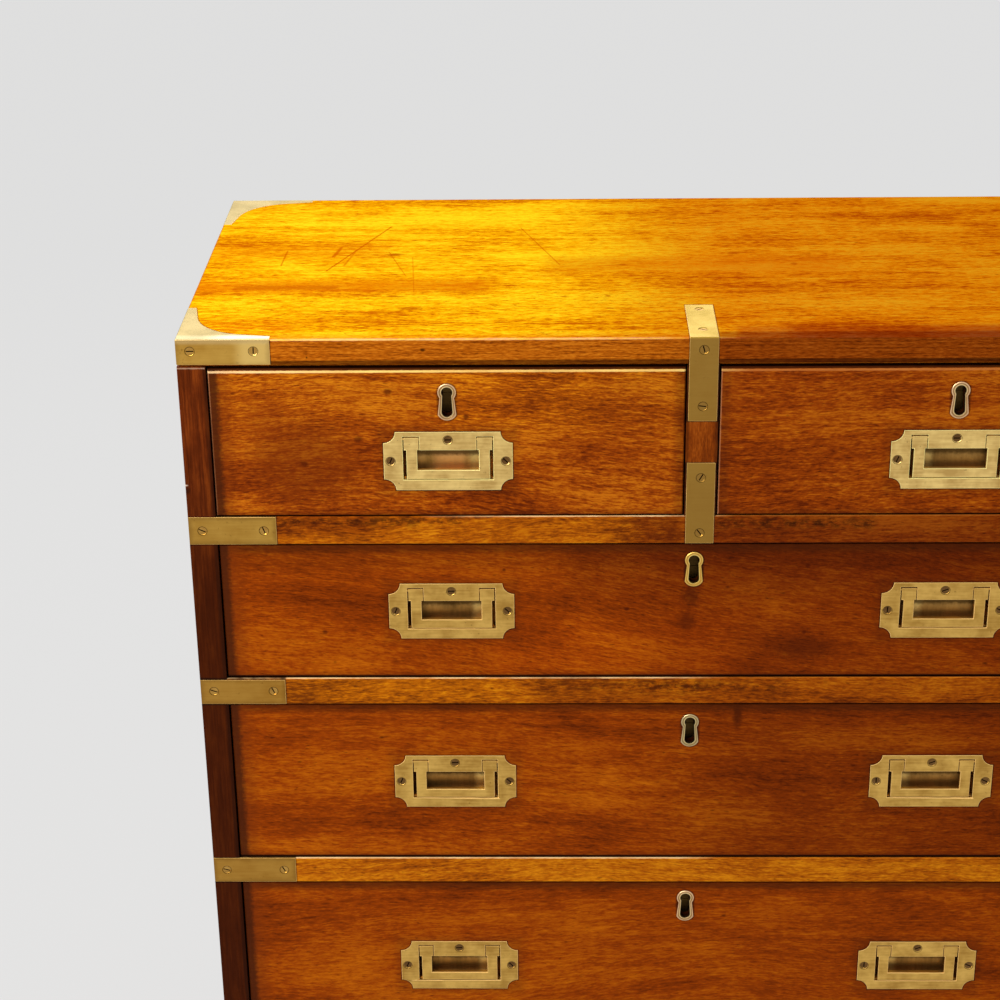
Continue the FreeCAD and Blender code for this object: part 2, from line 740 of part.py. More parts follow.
def keyhole_prism(name, curves, start, depth):
    """A keyhole outline in the drawer's front plane, pushed into the wood."""
    sketch = document.addObject("Sketcher::SketchObject", f"{name}_outline")
    sketch.Placement = Placement(Vector(), Rotation(Vector(1, 0, 0), 90))
    sketch.addGeometry(curves, False)
    prism = document.addObject("Part::Extrusion", name)
    prism.Base = sketch
    prism.DirMode = "Custom"
    prism.Dir = Vector(0, 1, 0)
    prism.Solid = True
    bind(prism, {"LengthFwd": depth})
    return put(prism, *start)


def escutcheon_curves():
    return keyhole_curves(size("escutcheon_head"), size("escutcheon_waist_half"),
                          size("escutcheon_waist_drop"), size("escutcheon_head"),
                          size("escutcheon_flare_drop"), size("escutcheon_drop"))


def key_curves():
    return keyhole_curves(size("keyhole_head"), size("keyhole_waist_half"), size("keyhole_waist_drop"),
                          size("keyhole_foot_half"), size("keyhole_foot_drop"), size("keyhole_drop"))


def lock_blocks(name, x, back, top):
    """The lock's case and the selvedge on it, and its cap, as the wood is cut for them."""
    case = block(f"{name}_case", (f"{x} - lock_width / 2", f"{back} - lock_depth", f"{top} - lock_height"),
                 (f"{x} + lock_width / 2", f"{back} - cap_thickness", top))
    selvedge = block(f"{name}_selvedge", (f"{x} - selvedge_width / 2", f"{back} - selvedge_depth",
                                          f"{top} - selvedge_thickness"),
                     (f"{x} + selvedge_width / 2", f"{back} - cap_thickness", top))
    cap = block(f"{name}_cap", (f"{x} - cap_width / 2", f"{back} - cap_thickness", f"{top} - lock_height"),
                (f"{x} + cap_width / 2", back, top))
    return case, selvedge, cap


def lock_case(name, x, back, top, keyhole):
    """The case, hollow behind its keyhole, with the cap that closes it."""
    case, selvedge, cap = lock_blocks(name, x, back, top)
    shell = fuse(f"{name}_shell", [case, selvedge])
    inside = f"{back} - cap_thickness"
    bolt_back = f"{inside} - bolt_thickness - 2 * bolt_clearance"
    key_space = block(f"{name}_key_space", (f"{x} - key_space_width / 2", f"{bolt_back} - key_space_depth",
                                            f"{top} - key_space_height"),
                      (f"{x} + key_space_width / 2", bolt_back, f"{top} - selvedge_thickness"))
    bolt_space = block(f"{name}_bolt_space",
                       (f"{x} - bolt_width / 2 - bolt_clearance", bolt_back,
                        f"{top} - bolt_head_height - bolt_height - bolt_clearance"),
                       (f"{x} + bolt_width / 2 + bolt_clearance", inside, f"{top} - selvedge_thickness"))
    slot = block(f"{name}_slot", (f"{x} - bolt_head_width / 2 - bolt_clearance", bolt_back,
                                  f"{top} - bolt_head_height"),
                 (f"{x} + bolt_head_width / 2 + bolt_clearance", inside, top))
    hollow = fuse(f"{name}_hollow", [key_space, bolt_space, slot, keyhole])
    return group(name, [cut(f"{name}_hollowed", shell, [hollow]), cap])


def lock_bolt(name, x, back, top):
    """The bolt, drawn back inside the lock; it rises through the selvedge."""
    rear = f"{back} - cap_thickness - bolt_clearance"
    head = block(f"{name}_head", (f"{x} - bolt_head_width / 2", f"{rear} - bolt_thickness",
                                  f"{top} - bolt_head_height"),
                 (f"{x} + bolt_head_width / 2", rear, f"{top} - bolt_clearance"))
    foot_part = block(f"{name}_foot", (f"{x} - bolt_width / 2", f"{rear} - bolt_thickness",
                                       f"{top} - bolt_head_height - bolt_height"),
                      (f"{x} + bolt_width / 2", rear, f"{top} - bolt_head_height"))
    return fuse(name, [head, foot_part])


def bolt_mortise(name, x, back, ceiling):
    """The pocket in the rail, or in the top, that takes the bolt."""
    rear = f"{back} - cap_thickness - bolt_clearance"
    return block(name, (f"{x} - bolt_head_width / 2 - mortise_margin",
                        f"{rear} - bolt_thickness - mortise_margin", ceiling),
                 (f"{x} + bolt_head_width / 2 + mortise_margin", f"{rear} + mortise_margin",
                  f"{ceiling} + bolt_travel"))


# ---- drawers --------------------------------------------------------------------------

def drawer_side(name, left, front_back, low, high):
    """One side of a drawer, with the dovetails that lock it into the front."""
    rear = f"{BACK_INNER} - drawer_rear_gap"
    board = block(f"{name}_board", (left, front_back, low),
                  (f"{left} + drawer_side_thickness", rear, high))
    pieces = [board]
    pitch = f"(({high}) - ({low})) / {TAILS}"
    for number in range(TAILS):
        tail = document.addObject("Part::Wedge", f"{name}_tail_{number}")
        bind(tail, {"Xmin": "0", "X2min": "0", "Ymin": "0", "Ymax": "tail_length",
                    "Xmax": "drawer_side_thickness", "X2max": "drawer_side_thickness",
                    "Zmin": f"{pitch} * tail_root_gap", "Zmax": f"{pitch} * (1 - tail_root_gap)",
                    "Z2min": f"{pitch} * tail_tip_gap", "Z2max": f"{pitch} * (1 - tail_tip_gap)"})
        put(tail, left, f"{front_back} - tail_length", f"{low} + {pitch} * {number}")
        pieces.append(tail)
    return fuse(name, pieces)


def drawer_box(name, left, right, front_back, low, high):
    """Two dovetailed sides, the back and the bottom."""
    rear = f"{BACK_INNER} - drawer_rear_gap"
    side_high = f"{high} - drawer_side_drop"
    inner_left, inner_right = f"{left} + drawer_side_thickness", f"{right} - drawer_side_thickness"
    left_side = drawer_side(f"{name}_left_side", left, front_back, low, side_high)
    right_side = drawer_side(f"{name}_right_side", inner_right, front_back, low, side_high)
    floor_low = f"{low} + bottom_rise"
    floor = block(f"{name}_floor", (inner_left, front_back, floor_low),
                  (inner_right, rear, f"{floor_low} + bottom_thickness"))
    back = block(f"{name}_rear", (inner_left, f"{rear} - drawer_side_thickness",
                                  f"{floor_low} + bottom_thickness"),
                 (inner_right, rear, f"{high} - drawer_back_drop"))
    return left_side, right_side, group(name, [left_side, right_side, floor, back])


def drawer(name, left, right, row, ceiling, recess, gap, key_x, key_drop, handles, handle_z):
    """One drawer with its lock and handles; returns the mortise for its bolt and its stop line."""
    front_left, front_right = f"{left} + front_side_gap", f"{right} - front_side_gap"
    face = f"{FRONT_FACE} + {recess}"
    front_back = f"{face} + front_thickness"
    low, high = f"{row}_floor + front_bottom_gap", f"{ceiling} - {gap}"
    key_z = f"{ceiling} - {key_drop}"

    blank = block(f"{name}_front_blank", (front_left, face, low), (front_right, front_back, high))
    document.recompute()
    face_place = blank.Shape.BoundBox.YMin
    eased = rounded(f"{name}_front_eased", blank, "front_arris",
                    lambda edge: in_plane(edge, "Y", face_place))

    left_side, right_side, box = drawer_box(f"{name}_box", front_left, front_right, front_back, low, high)
    node(box, f"{name}_box")

    plates, bails, housings, seats = [], [], [], []
    for number, handle_x in enumerate(handles):
        centre = (handle_x, f"{face} - plate_proud", handle_z)
        plates.append(put(handle_plate(f"{name}_plate_{number}", "drawer_handle_scale"), *centre))
        bails.append(put(bail(f"{name}_bail_{number}", "drawer_handle_scale"), *centre))
        housings.append(put(handle_housing(f"{name}_plate_{number}", "drawer_handle_scale"), *centre))
    document.recompute()
    for plate in plates:
        seats += plate_seats(plate.Placement, size("drawer_handle_scale"))
    plate_holes = screw_holes(f"{name}_plate_holes", seats)
    node(cut(f"{name}_handle_plates_drilled", group(f"{name}_plates", plates), [plate_holes]),
         f"{name}_handle_plates" if len(handles) > 1 else f"{name}_handle_plate")
    hands = ("left", "right") if len(handles) > 1 else ("",)
    for swing, hand in zip(bails, hands):
        node(swing, "_".join(part for part in (name, hand, "bail") if part))

    escutcheon_place = (key_x, f"{face} - escutcheon_proud", key_z)
    ring = keyhole_prism(f"{name}_escutcheon_blank", escutcheon_curves(), escutcheon_place,
                         "escutcheon_thickness + escutcheon_proud")
    ring_hole = keyhole_prism(f"{name}_escutcheon_hole", key_curves(), escutcheon_place,
                              "escutcheon_thickness + escutcheon_proud")
    crest = face_place - size("escutcheon_proud")
    node(rounded(f"{name}_escutcheon_soft", cut(f"{name}_escutcheon_ring", ring, [ring_hole]),
                 "escutcheon_arris", lambda edge: in_plane(edge, "Y", crest)), f"{name}_escutcheon")
    keyhole = keyhole_prism(f"{name}_keyhole", key_curves(), escutcheon_place, "keyhole_depth")

    case, selvedge, cap = lock_blocks(f"{name}_lock_housing", key_x, front_back, high)
    node(lock_case(f"{name}_lock_case", key_x, front_back, high, keyhole), f"{name}_lock_case")
    node(lock_bolt(f"{name}_bolt", key_x, front_back, high), f"{name}_lock_bolt")

    document.recompute()
    cap_box = cap.Shape.BoundBox
    lock_seats = []
    inset, rise = size("lock_screw_inset"), size("lock_screw_rise")
    for x in (cap_box.XMin + inset, cap_box.XMax - inset):
        for z in (cap_box.ZMin + rise, cap_box.ZMax - rise):
            lock_seats.append((Vector(x, cap_box.YMax, z), Vector(0, 1, 0)))
    cap_feature = next(piece for piece in document.getObject(f"{name}_lock_case").Links
                       if piece.Name == f"{name}_lock_case_cap")
    holes = screw_holes(f"{name}_lock_holes", lock_seats)
    drilled_cap = cut(f"{name}_lock_cap_drilled", cap_feature, [holes])
    lock = document.getObject(f"{name}_lock_case")
    lock.Links = [piece for piece in lock.Links if piece != cap_feature] + [drilled_cap]

    housing = fuse(f"{name}_front_housing",
                   [left_side, right_side, case, selvedge, cap, ring, keyhole] + housings)
    board = cut(f"{name}_front_housed", eased, [housing])
    node(cut(f"{name}_front_board", board, [screw_holes(f"{name}_front_holes", seats + lock_seats)]),
         f"{name}_front")
    node(screw_group(f"{name}_screw_set", seats + lock_seats), f"{name}_screws")
    return bolt_mortise(f"{name}_mortise", key_x, front_back, ceiling), front_back


def stop_pair(name, left, right, row, front_back):
    """Two blocks on the rail that a drawer's front closes against."""
    stops = []
    near = f"{front_back} + stop_clearance"
    for hand, x in (("left", f"{left} + stop_inset"), ("right", f"{right} - stop_inset - stop_length")):
        stops.append(block(f"{name}_stop_{hand}", (x, near, f"{row}_floor"),
                           (f"{x} + stop_length", f"{near} + stop_depth", f"{row}_floor + stop_height")))
    return stops


def all_drawers():
    """The five drawers; returns the bolts' mortises by row and the stops."""
    middle_left, middle_right = "-divider_width / 2", "divider_width / 2"
    offset = "handle_offset"
    plans = (
        ("top_left", CARCASE_INNER_LEFT, middle_left, "top_row", TOP_UNDERSIDE, f"-{offset}",
         "top_key_drop", (f"-{offset}",), "top_row_floor + top_handle_rise"),
        ("top_right", middle_right, CARCASE_INNER_RIGHT, "top_row", TOP_UNDERSIDE, offset,
         "top_key_drop", (offset,), "top_row_floor + top_handle_rise"),
        ("second", CARCASE_INNER_LEFT, CARCASE_INNER_RIGHT, "second_row", "top_row_floor - rail_height",
         "long_key_offset", "second_key_drop", (f"-{offset}", offset), None),
        ("third", CARCASE_INNER_LEFT, CARCASE_INNER_RIGHT, "third_row", "second_row_floor - rail_height",
         "long_key_offset", "third_key_drop", (f"-{offset}", offset), None),
        ("bottom", CARCASE_INNER_LEFT, CARCASE_INNER_RIGHT, "bottom_row", "third_row_floor - rail_height",
         "long_key_offset", "bottom_key_drop", (f"-{offset}", offset), None),
    )
    mortises, stops = {}, []
    for name, left, right, row, ceiling, key_x, key_drop, handles, handle_z in plans:
        kind = "top" if row == "top_row" else "long"
        middle = f"({row}_floor + {ceiling}) / 2"
        mortise, front_back = drawer(name, left, right, row, ceiling, f"{kind}_front_recess",
                                     f"{kind}_front_gap", key_x, key_drop, handles, handle_z or middle)
        mortises.setdefault(row, []).append(mortise)
        stops += stop_pair(name, left, right, row, front_back)
    node(group("drawer_stops", stops), "drawer_stops")
    return mortises


# ---- assembly -------------------------------------------------------------------------

def carry_handles():
    """A flush lifting handle let into each side board; returns the housings and their screws."""
    housings, plates, seats = [], [], []
    for hand, across in (("left", -1), ("right", 1)):
        turn = Rotation(Vector(0, 0, 1), across * 90)
        centre = (f"{across} * (chest_width / 2 + plate_proud)", "0", "carry_handle_height")
        pieces = (handle_plate(f"carry_{hand}_plate", "carry_handle_scale"),
                  handle_housing(f"carry_{hand}_plate", "carry_handle_scale"),
                  bail(f"carry_{hand}_bail", "carry_handle_scale"))
        for piece in pieces:
            piece.Placement = Placement(Vector(), turn)
            put(piece, *centre)
        plates.append(pieces[0])
        housings.append(pieces[1])
        node(pieces[2], f"carry_bail_{hand}")
    document.recompute()
    for plate in plates:
        seats += plate_seats(plate.Placement, size("carry_handle_scale"))
    holes = screw_holes("carry_plate_holes", seats)
    node(cut("carry_plates_drilled", group("carry_plates", plates), [holes]), "carry_handle_plates")
    return housings, seats


def carcase(mortises):
    """The boards, cut for the brass let into them, and the brass with its screws."""
    top_corner, top_seat = corner_bracket("top_bracket", "chest_height - brass_thickness",
                                          f"{TOP_UNDERSIDE} + quirk_height", "chest_height")
    base_corner, base_seat = corner_bracket("base_bracket", "bottom_row_floor - base_thickness",
                                            "bottom_row_floor - base_thickness", "bottom_row_floor")
    top_brackets = four_corners("top_bracket", top_corner)
    base_brackets = four_corners("base_bracket", base_corner)
    top_seats, base_seats = four_corners("top_seat", top_seat), four_corners("base_seat", base_seat)
    strap_heights = {"top_row": "rail_height", "second_row": "strap_height", "third_row": "rail_height"}
    straps, strap_seats = [], {}
    for row, height in strap_heights.items():
        strap, strap_seat = rail_strap(row, height)
        straps += both_ends(f"{row}_strap", strap)
        strap_seats[row] = both_ends(f"{row}_strap_seat", strap_seat)
    upper_strap, upper_seat = divider_strap()
    lower_strap = divider_foot_strap()
    housings, carry_seats = carry_handles()
    seats = binding_seats()
    foot_holes = feet()

    def drilled(feature, label, places):
        """Drill a feature for the screws that reach into it, and keep it as a node."""
        close = seats_near(places, feature)
        finished = feature
        if close:
            finished = cut(f"{label}_drilled", feature, [screw_holes(f"{label}_screw_holes", close)])
        return node(finished, label)

    brackets = group("bracket_set", top_brackets + base_brackets)
    strap_set = group("strap_set", straps + [upper_strap, lower_strap])
    drilled(brackets, "corner_brackets", seats)
    drilled(strap_set, "binding_straps", seats)

    top = cut("top_housed", top_blank(), top_seats + [upper_seat] + mortises["top_row"])
    drilled(top, "top_board", seats)
    base = cut("base_housed", base_blank(), base_seats)
    drilled(cut("base_bored", base, foot_holes), "bottom_board", seats)

    boards = (side_board("left_side", LEFT_EDGE, CARCASE_INNER_LEFT, -size("chest_width") / 2),
              side_board("right_side", CARCASE_INNER_RIGHT, "chest_width / 2", size("chest_width") / 2))
    for hand, board in enumerate(boards):
        label = ("left_side", "right_side")[hand]
        let_in = [strap_seats[row][hand] for row in RAIL_ROWS] + [housings[hand]]
        drilled(cut(f"{label}_housed", board, let_in), label, seats + carry_seats)

    rails = []
    bolts_under = {"top_row": mortises["second_row"], "second_row": mortises["third_row"],
                   "third_row": mortises["bottom_row"]}
    for row in RAIL_ROWS:
        tools = strap_seats[row] + bolts_under[row] + ([lower_strap] if row == "top_row" else [])
        rails.append(cut(f"{row}_rail", rail_blank(row), tools))
    drilled(group("rail_set", rails), "drawer_rails", seats)
    divider = cut("divider_housed", divider_blank(), [upper_seat, lower_strap])
    drilled(divider, "drawer_divider", seats)
    node(screw_group("binding_screw_set", seats + carry_seats), "binding_screws")


def write_parts():
    """Check every feature, then write one STEP file for each node."""
    document.recompute()
    failed = [item.Name for item in document.Objects if {"Invalid", "Error"} & set(item.State)]
    if failed:
        raise RuntimeError(f"failed features: {failed}")
    os.makedirs("parts", exist_ok=True)
    for feature in nodes:
        shape = feature.Shape
        if shape.isNull() or not shape.isValid() or not shape.Solids:
            raise RuntimeError(f"{feature.Label} has no valid solid")
        shape.exportStep(f"parts/{feature.Label}.step")
        print(f"{feature.Label}: {len(shape.Solids)} solids, {shape.Volume / 1000:.1f} cm3")
    print(f"{len(nodes)} nodes")


fill_sheet()
carcase(all_drawers())
back_boards()
drawer_runners()
dust_boards()
write_parts()
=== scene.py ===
"""The campaign chest's looks: polished wood, old brass and their wear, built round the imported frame.

Metres, in the frame of the CAD model: X is the width, -Y the front, +Z up.
"""

from functools import partial
import json
import math

import bmesh
import bpy
from mathutils import Matrix, Vector

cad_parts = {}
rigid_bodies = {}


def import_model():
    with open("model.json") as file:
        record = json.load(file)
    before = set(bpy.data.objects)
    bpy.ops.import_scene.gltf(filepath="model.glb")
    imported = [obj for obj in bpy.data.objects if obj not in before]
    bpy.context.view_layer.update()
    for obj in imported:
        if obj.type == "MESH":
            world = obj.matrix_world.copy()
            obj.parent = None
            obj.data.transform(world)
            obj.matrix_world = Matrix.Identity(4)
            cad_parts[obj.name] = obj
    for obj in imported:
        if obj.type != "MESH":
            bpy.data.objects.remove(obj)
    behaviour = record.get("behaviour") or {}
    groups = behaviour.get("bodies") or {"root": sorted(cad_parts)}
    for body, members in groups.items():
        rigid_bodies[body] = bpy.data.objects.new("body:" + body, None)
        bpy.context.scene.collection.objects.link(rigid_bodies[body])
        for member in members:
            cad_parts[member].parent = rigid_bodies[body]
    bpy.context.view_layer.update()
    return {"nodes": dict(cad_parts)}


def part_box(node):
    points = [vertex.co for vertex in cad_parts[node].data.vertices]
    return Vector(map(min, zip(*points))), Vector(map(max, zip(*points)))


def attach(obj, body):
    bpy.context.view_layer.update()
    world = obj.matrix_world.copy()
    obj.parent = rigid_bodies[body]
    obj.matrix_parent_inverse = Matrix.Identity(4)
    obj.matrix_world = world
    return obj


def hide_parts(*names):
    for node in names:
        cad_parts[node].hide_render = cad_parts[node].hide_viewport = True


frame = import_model()
NODES = frame["nodes"]

RAILS = ((0.678, 0.705), (0.5135, 0.541), (0.3175, 0.345))
HALF_WIDTH, FRONT, TOP = 0.4572, -0.205, 0.874
OPENING = HALF_WIDTH - 0.025
STRAP_LEG, STRAP_HALF = 0.079, 0.0127
BRACKET_LEG, BRACKET_TIP = 0.082, 0.008
UPPER_STRAP, LOWER_STRAP = (0.835, 0.039), (0.71725, 0.03925)
PLATE_X, PLATE_HALF, PLATE_SCALLOP = 0.223, (0.0571, 0.028), 0.0106
PAN_HALF, PAN_TOP, PAN_BOTTOM, PAN_FLOOR = 0.0399, 0.0104, -0.018, 0.012
CARRY_SCALE, CARRY_HEIGHT = 1.3, 0.6
HANDS = ((-1, "left"), (1, "right"))
KEY_HEAD = 0.00835
HOLE_LARGEST, HOLE_RIM = 0.0115, 0.0003


def linear(colour):
    """Linear light for a colour of three parts as seen on screen, 0 to 255. Others stay."""
    if not isinstance(colour, tuple) or len(colour) != 3:
        return colour
    parts = [part / 255 for part in colour]
    return (*(part / 12.92 if part <= 0.04045 else ((part + 0.055) / 1.055) ** 2.4 for part in parts), 1.0)


def darker(colour, share):
    return tuple(part * share for part in linear(colour)[:3]) + (1.0,)


# ---- shader building ----

class Nodes:
    """A node tree, with short calls that add nodes and wire them."""

    def __init__(self, tree):
        self.tree = tree
        tree.nodes.clear()

    def node(self, kind, sockets=None, **settings):
        made = self.tree.nodes.new("ShaderNode" + kind)
        for key, value in settings.items():
            setattr(made, key, value)
        for key, value in (sockets or {}).items():
            if isinstance(value, bpy.types.NodeSocket):
                self.tree.links.new(value, made.inputs[key])
            else:
                made.inputs[key].default_value = value
        return made

    def math(self, operation, *values, clamp=False):
        return self.node("Math", dict(enumerate(values)), operation=operation, use_clamp=clamp).outputs[0]

    def plus(self, first, second, clamp=False):
        return self.math("ADD", first, second, clamp=clamp)

    def minus(self, first, second):
        return self.math("SUBTRACT", first, second)

    def times(self, first, second, clamp=False):
        return self.math("MULTIPLY", first, second, clamp=clamp)

    def most(self, first, second):
        return self.math("MAXIMUM", first, second)

    def size(self, value):
        return self.math("ABSOLUTE", value)

    def apart(self, value, place):
        """How far a value is from a place, to either side."""
        return self.size(self.minus(value, place))


class Shader(Nodes):
    """A material, worked out from a point's own place on the chest."""

    def __init__(self, name):
        self.material = bpy.data.materials.new(name)
        self.material.use_nodes = True
        super().__init__(self.material.node_tree)
        self.place = self.node("TexCoord").outputs["Object"]
        self.axes = tuple(self.node("SeparateXYZ", {0: self.place}).outputs)
        self.x, self.y, self.z = self.axes

    def vector(self, x, y, z=0.0):
        return self.node("CombineXYZ", {0: x, 1: y, 2: z}).outputs[0]

    def length(self, x, y):
        return self.node("VectorMath", {0: self.vector(x, y)}, operation="LENGTH").outputs["Value"]

    def stretch(self, point, scale, shift=(0, 0, 0)):
        return self.node("Mapping", {"Vector": point, "Scale": scale, "Location": shift}).outputs[0]

    def noise(self, point, detail=2.0, roughness=0.55):
        return self.node("TexNoise", {"Vector": point, "Scale": 1.0, "Detail": detail,
                                      "Roughness": roughness}).outputs[0]

    def cloudy(self, scale, detail=2.0, roughness=0.55, shift=(0, 0, 0)):
        """A noise over the chest, with one scale for all directions or one for each."""
        scales = scale if isinstance(scale, tuple) else (scale, scale, scale)
        return self.noise(self.stretch(self.place, scales, shift), detail, roughness)

    def centred(self, value, amount):
        """A noise moved to vary about nought, times an amount."""
        return self.times(self.minus(value, 0.5), amount)

    def remap(self, value, low, high, to_low=0.0, to_high=1.0):
        return self.node("MapRange", {0: value, 1: low, 2: high, 3: to_low, 4: to_high}).outputs[0]

    def fade(self, value, near, far, strength=1.0):
        """Strength where value is at near, softly down to nought where it is at far."""
        return self.node("MapRange", {0: value, 1: near, 2: far, 3: strength, 4: 0.0},
                         interpolation_type="SMOOTHSTEP").outputs[0]

    def mix(self, share, first, second, blend="MIX"):
        sockets = {0: share, 6: linear(first), 7: linear(second)}
        return self.node("Mix", sockets, data_type="RGBA", blend_type=blend).outputs[2]

    def choose(self, share, first, second):
        return self.node("Mix", {0: share, 2: first, 3: second}, data_type="FLOAT").outputs[0]

    def ramp(self, value, places, colours):
        made = self.node("ValToRGB", {0: value})
        elements = made.color_ramp.elements
        while len(elements) < len(places):
            elements.new(0.5)
        for element, place, colour in zip(elements, places, colours):
            element.position = place
            element.color = linear(colour)
        return made.outputs[0]

    def attribute(self, name):
        return self.node("Attribute", attribute_name=name).outputs["Fac"]

    def bump(self, height, strength):
        return self.node("Bump", {"Height": height, "Strength": strength, "Distance": 0.0003}).outputs[0]

    def plane(self, names):
        """The two coordinates of a face, such as XZ for the front."""
        return [self.axes["XYZ".index(name)] for name in names]

    def stained(self, colour, stains):
        """A colour with stains over it: each gives a mask, a colour and perhaps a blend."""
        for stain in stains:
            mask, *tint = stain(self)
            colour = self.mix(mask, colour, *tint)
        return colour

    def finish(self, sockets):
        surface = self.node("BsdfPrincipled", sockets)
        self.node("OutputMaterial", {0: surface.outputs[0]})
        return self.material


# ---- places on a face, as distances that a mask fades over ----

def past_sides(s, names, centre, half, mirrored=False):
    """How far a point lies past a rectangle's sides, across and up; negative inside."""
    u, v = s.plane(names)
    if mirrored:
        u = s.size(u)
    return s.minus(s.apart(u, centre[0]), half[0]), s.minus(s.apart(v, centre[1]), half[1])


def from_box(s, names, centre, half, mirrored=False):
    """How far a point lies outside a rectangle; negative inside."""
    return s.most(*past_sides(s, names, centre, half, mirrored))


def from_plate(s, names, centre, scale=1.0):
    """The distance outside a handle plate, which has scooped corners."""
    across, up = past_sides(s, names, centre, [half * scale for half in PLATE_HALF])
    scallop = s.minus(PLATE_SCALLOP * scale, s.length(across, up))
    return s.most(s.most(across, up), scallop)


def from_spot(s, names, centre, stretch=1.0):
    """The distance from a place, with the first coordinate shortened by stretch."""
    u, v = s.plane(names)
    return s.length(s.math("DIVIDE", s.minus(u, centre[0]), stretch), s.minus(v, centre[1]))


def from_line(s, names, start, end):
    """The distance from a straight line between two places."""
    u, v = s.plane(names)
    point = s.vector(s.minus(u, start[0]), s.minus(v, start[1]))
    run = Vector((end[0] - start[0], end[1] - start[1], 0.0))
    share = s.node("VectorMath", {0: point, 1: run / run.length_squared}, operation="DOT_PRODUCT")
    share = s.plus(share.outputs["Value"], 0.0, clamp=True)
    nearest = s.node("VectorMath", {0: tuple(run), "Scale": share}, operation="SCALE").outputs[0]
    return s.node("VectorMath", {0: point, 1: nearest}, operation="DISTANCE").outputs["Value"]


def rough_edge(s, distance, amount, size=300.0):
    """A distance made uneven by an amount, for a ragged edge."""
    return s.plus(distance, s.centred(s.cloudy(size), amount)) if amount else distance


# ---- wood ----

# A dark brown for real dirt, and for painted shade in gaps, grooves, openings and screw slots.
DIRT_AND_SHADE = (30, 11, 4)
GRAIN_AXES = {"X": (0, 2, 1), "Y": (1, 0, 2), "Z": (2, 0, 1), "top": (0, 1, 2)}


def wood(name, grain, palette, seed, slant=0.0, waver=1.0, broad=1.0, fine=1.0, cloud=1.0, pores=1.0,
         stains=(), roughness=0.44, gloss=0.03):
    """Old polished mahogany, with its grain along one of GRAIN_AXES."""
    s = Shader(name)
    along, across, depth = (s.axes[index] for index in GRAIN_AXES[grain])
    shift = (seed * 3.7, seed * 1.9, seed * 2.3)
    start = s.vector(along, across, depth)
    sway = s.noise(s.stretch(start, (2.3, 5.0, 5.0), shift), 1.0)
    drift = s.plus(s.times(along, slant), s.centred(sway, 0.06 * waver))
    ripple = s.noise(s.stretch(start, (30.0, 24.0, 24.0), shift), 2.0)
    bent = s.plus(across, s.plus(drift, s.centred(ripple, 0.0045 * waver)))
    grainy = s.vector(along, bent, depth)

    def layer(point, run, width, detail=2.0, rough=0.6):
        return s.noise(s.stretch(point, (run, width, width), shift), detail, rough)

    clouds = layer(start, 11.0, 24.0, 3.0)
    fibres = layer(grainy, 55.0, 1300.0)
    tone = s.centred(layer(grainy, 1.7, 20.0), 1.3 * broad)
    for part, weight in ((clouds, 1.2 * cloud),
                         (layer(grainy, 8.0, 190.0, 3.0), 0.65 * fine),
                         (layer(grainy, 82.0, 430.0), 0.9 * fine),
                         (layer(grainy, 190.0, 760.0), 1.0 * fine),
                         (fibres, 0.8 * fine)):
        tone = s.plus(tone, s.centred(part, weight))
    tone = s.plus(tone, 0.5, clamp=True)
    colour = s.ramp(tone, (0.1, 0.5, 0.9), palette)

    dashes = s.remap(layer(grainy, 150.0, 950.0, 1.0), 0.64, 0.74, 0.0, 0.6 * pores)
    cells = s.node("TexVoronoi", {"Vector": s.stretch(start, (26.0, 48.0, 48.0), shift), "Scale": 1.0})
    chosen = s.math("GREATER_THAN", s.node("SeparateXYZ", {0: cells.outputs["Color"]}).outputs[0], 0.86)
    specks = s.times(s.fade(cells.outputs["Distance"], 0.02, 0.09, 0.75), chosen)
    for marks in (dashes, specks):
        colour = s.mix(marks, colour, darker(palette[0], 0.5))

    height = s.minus(s.times(fibres, 0.5), dashes)
    return s.finish({"Base Color": s.stained(colour, stains), "Normal": s.bump(height, 0.3),
                     "Roughness": s.plus(s.centred(clouds, 0.3), roughness), "Specular IOR Level": gloss})


def stain(distance_of, near, far, colour, strength, ragged, size=300.0, blend="MIX"):
    """A colour that is strong where a distance is near and gone where it is far."""
    def make(s):
        distance = rough_edge(s, distance_of(s), ragged, size)
        return s.fade(distance, near, far, strength), colour, blend
    return make


def stain_box(names, low, high, soft, colour, strength=1.0, ragged=0.0, mirrored=False, blend="MIX"):
    """A stain over a rectangle, faded over soft outside it."""
    centre = tuple((a + b) / 2 for a, b in zip(low, high))
    half = tuple((b - a) / 2 for a, b in zip(low, high))
    place = partial(from_box, names=names, centre=centre, half=half, mirrored=mirrored)
    return stain(place, 0.0, soft, colour, strength, ragged, blend=blend)


def tint_box(names, low, high, soft, red, green, blue, ragged=0.0):
    """A rectangle where a tint multiplies the wood's own colour, so that its grain stays; also used for
    painted shade.
    """
    return stain_box(names, low, high, soft, (red, green, blue, 1.0), 1.0, ragged, blend="MULTIPLY")


def stain_spot(names, centre, radius, colour, strength=1.0, stretch=1.0, ragged=0.0):
    place = partial(from_spot, names=names, centre=centre, stretch=stretch)
    return stain(place, radius * 0.25, radius, colour, strength, ragged)


def stain_line(names, start, end, width, colour, strength=1.0):
    place = partial(from_line, names=names, start=start, end=end)
    return stain(place, width * 0.3, width, colour, strength, width * 1.2, 500.0)


def knots(*places):
    """Small dark pin knots on a front, each as x, z and radius."""
    return [stain_spot("XZ", (x, z), radius, (74, 20, 2), 0.75, 1.2, 0.0024) for x, z, radius in places]


def mottle(names, centre, half, soft, size, colour, strength, aspect=1.6, bare=0.4, full=0.62):
    """A stain broken into fine clouds, or into flecks where aspect is large and bare is high."""
    def make(s):
        mask = s.fade(from_box(s, names, centre, half), -soft, soft)
        broken = s.cloudy((size, size * aspect, size * aspect), 3.0, 0.7)
        return s.times(mask, s.remap(broken, bare, full, 0.0, strength)), colour
    return make


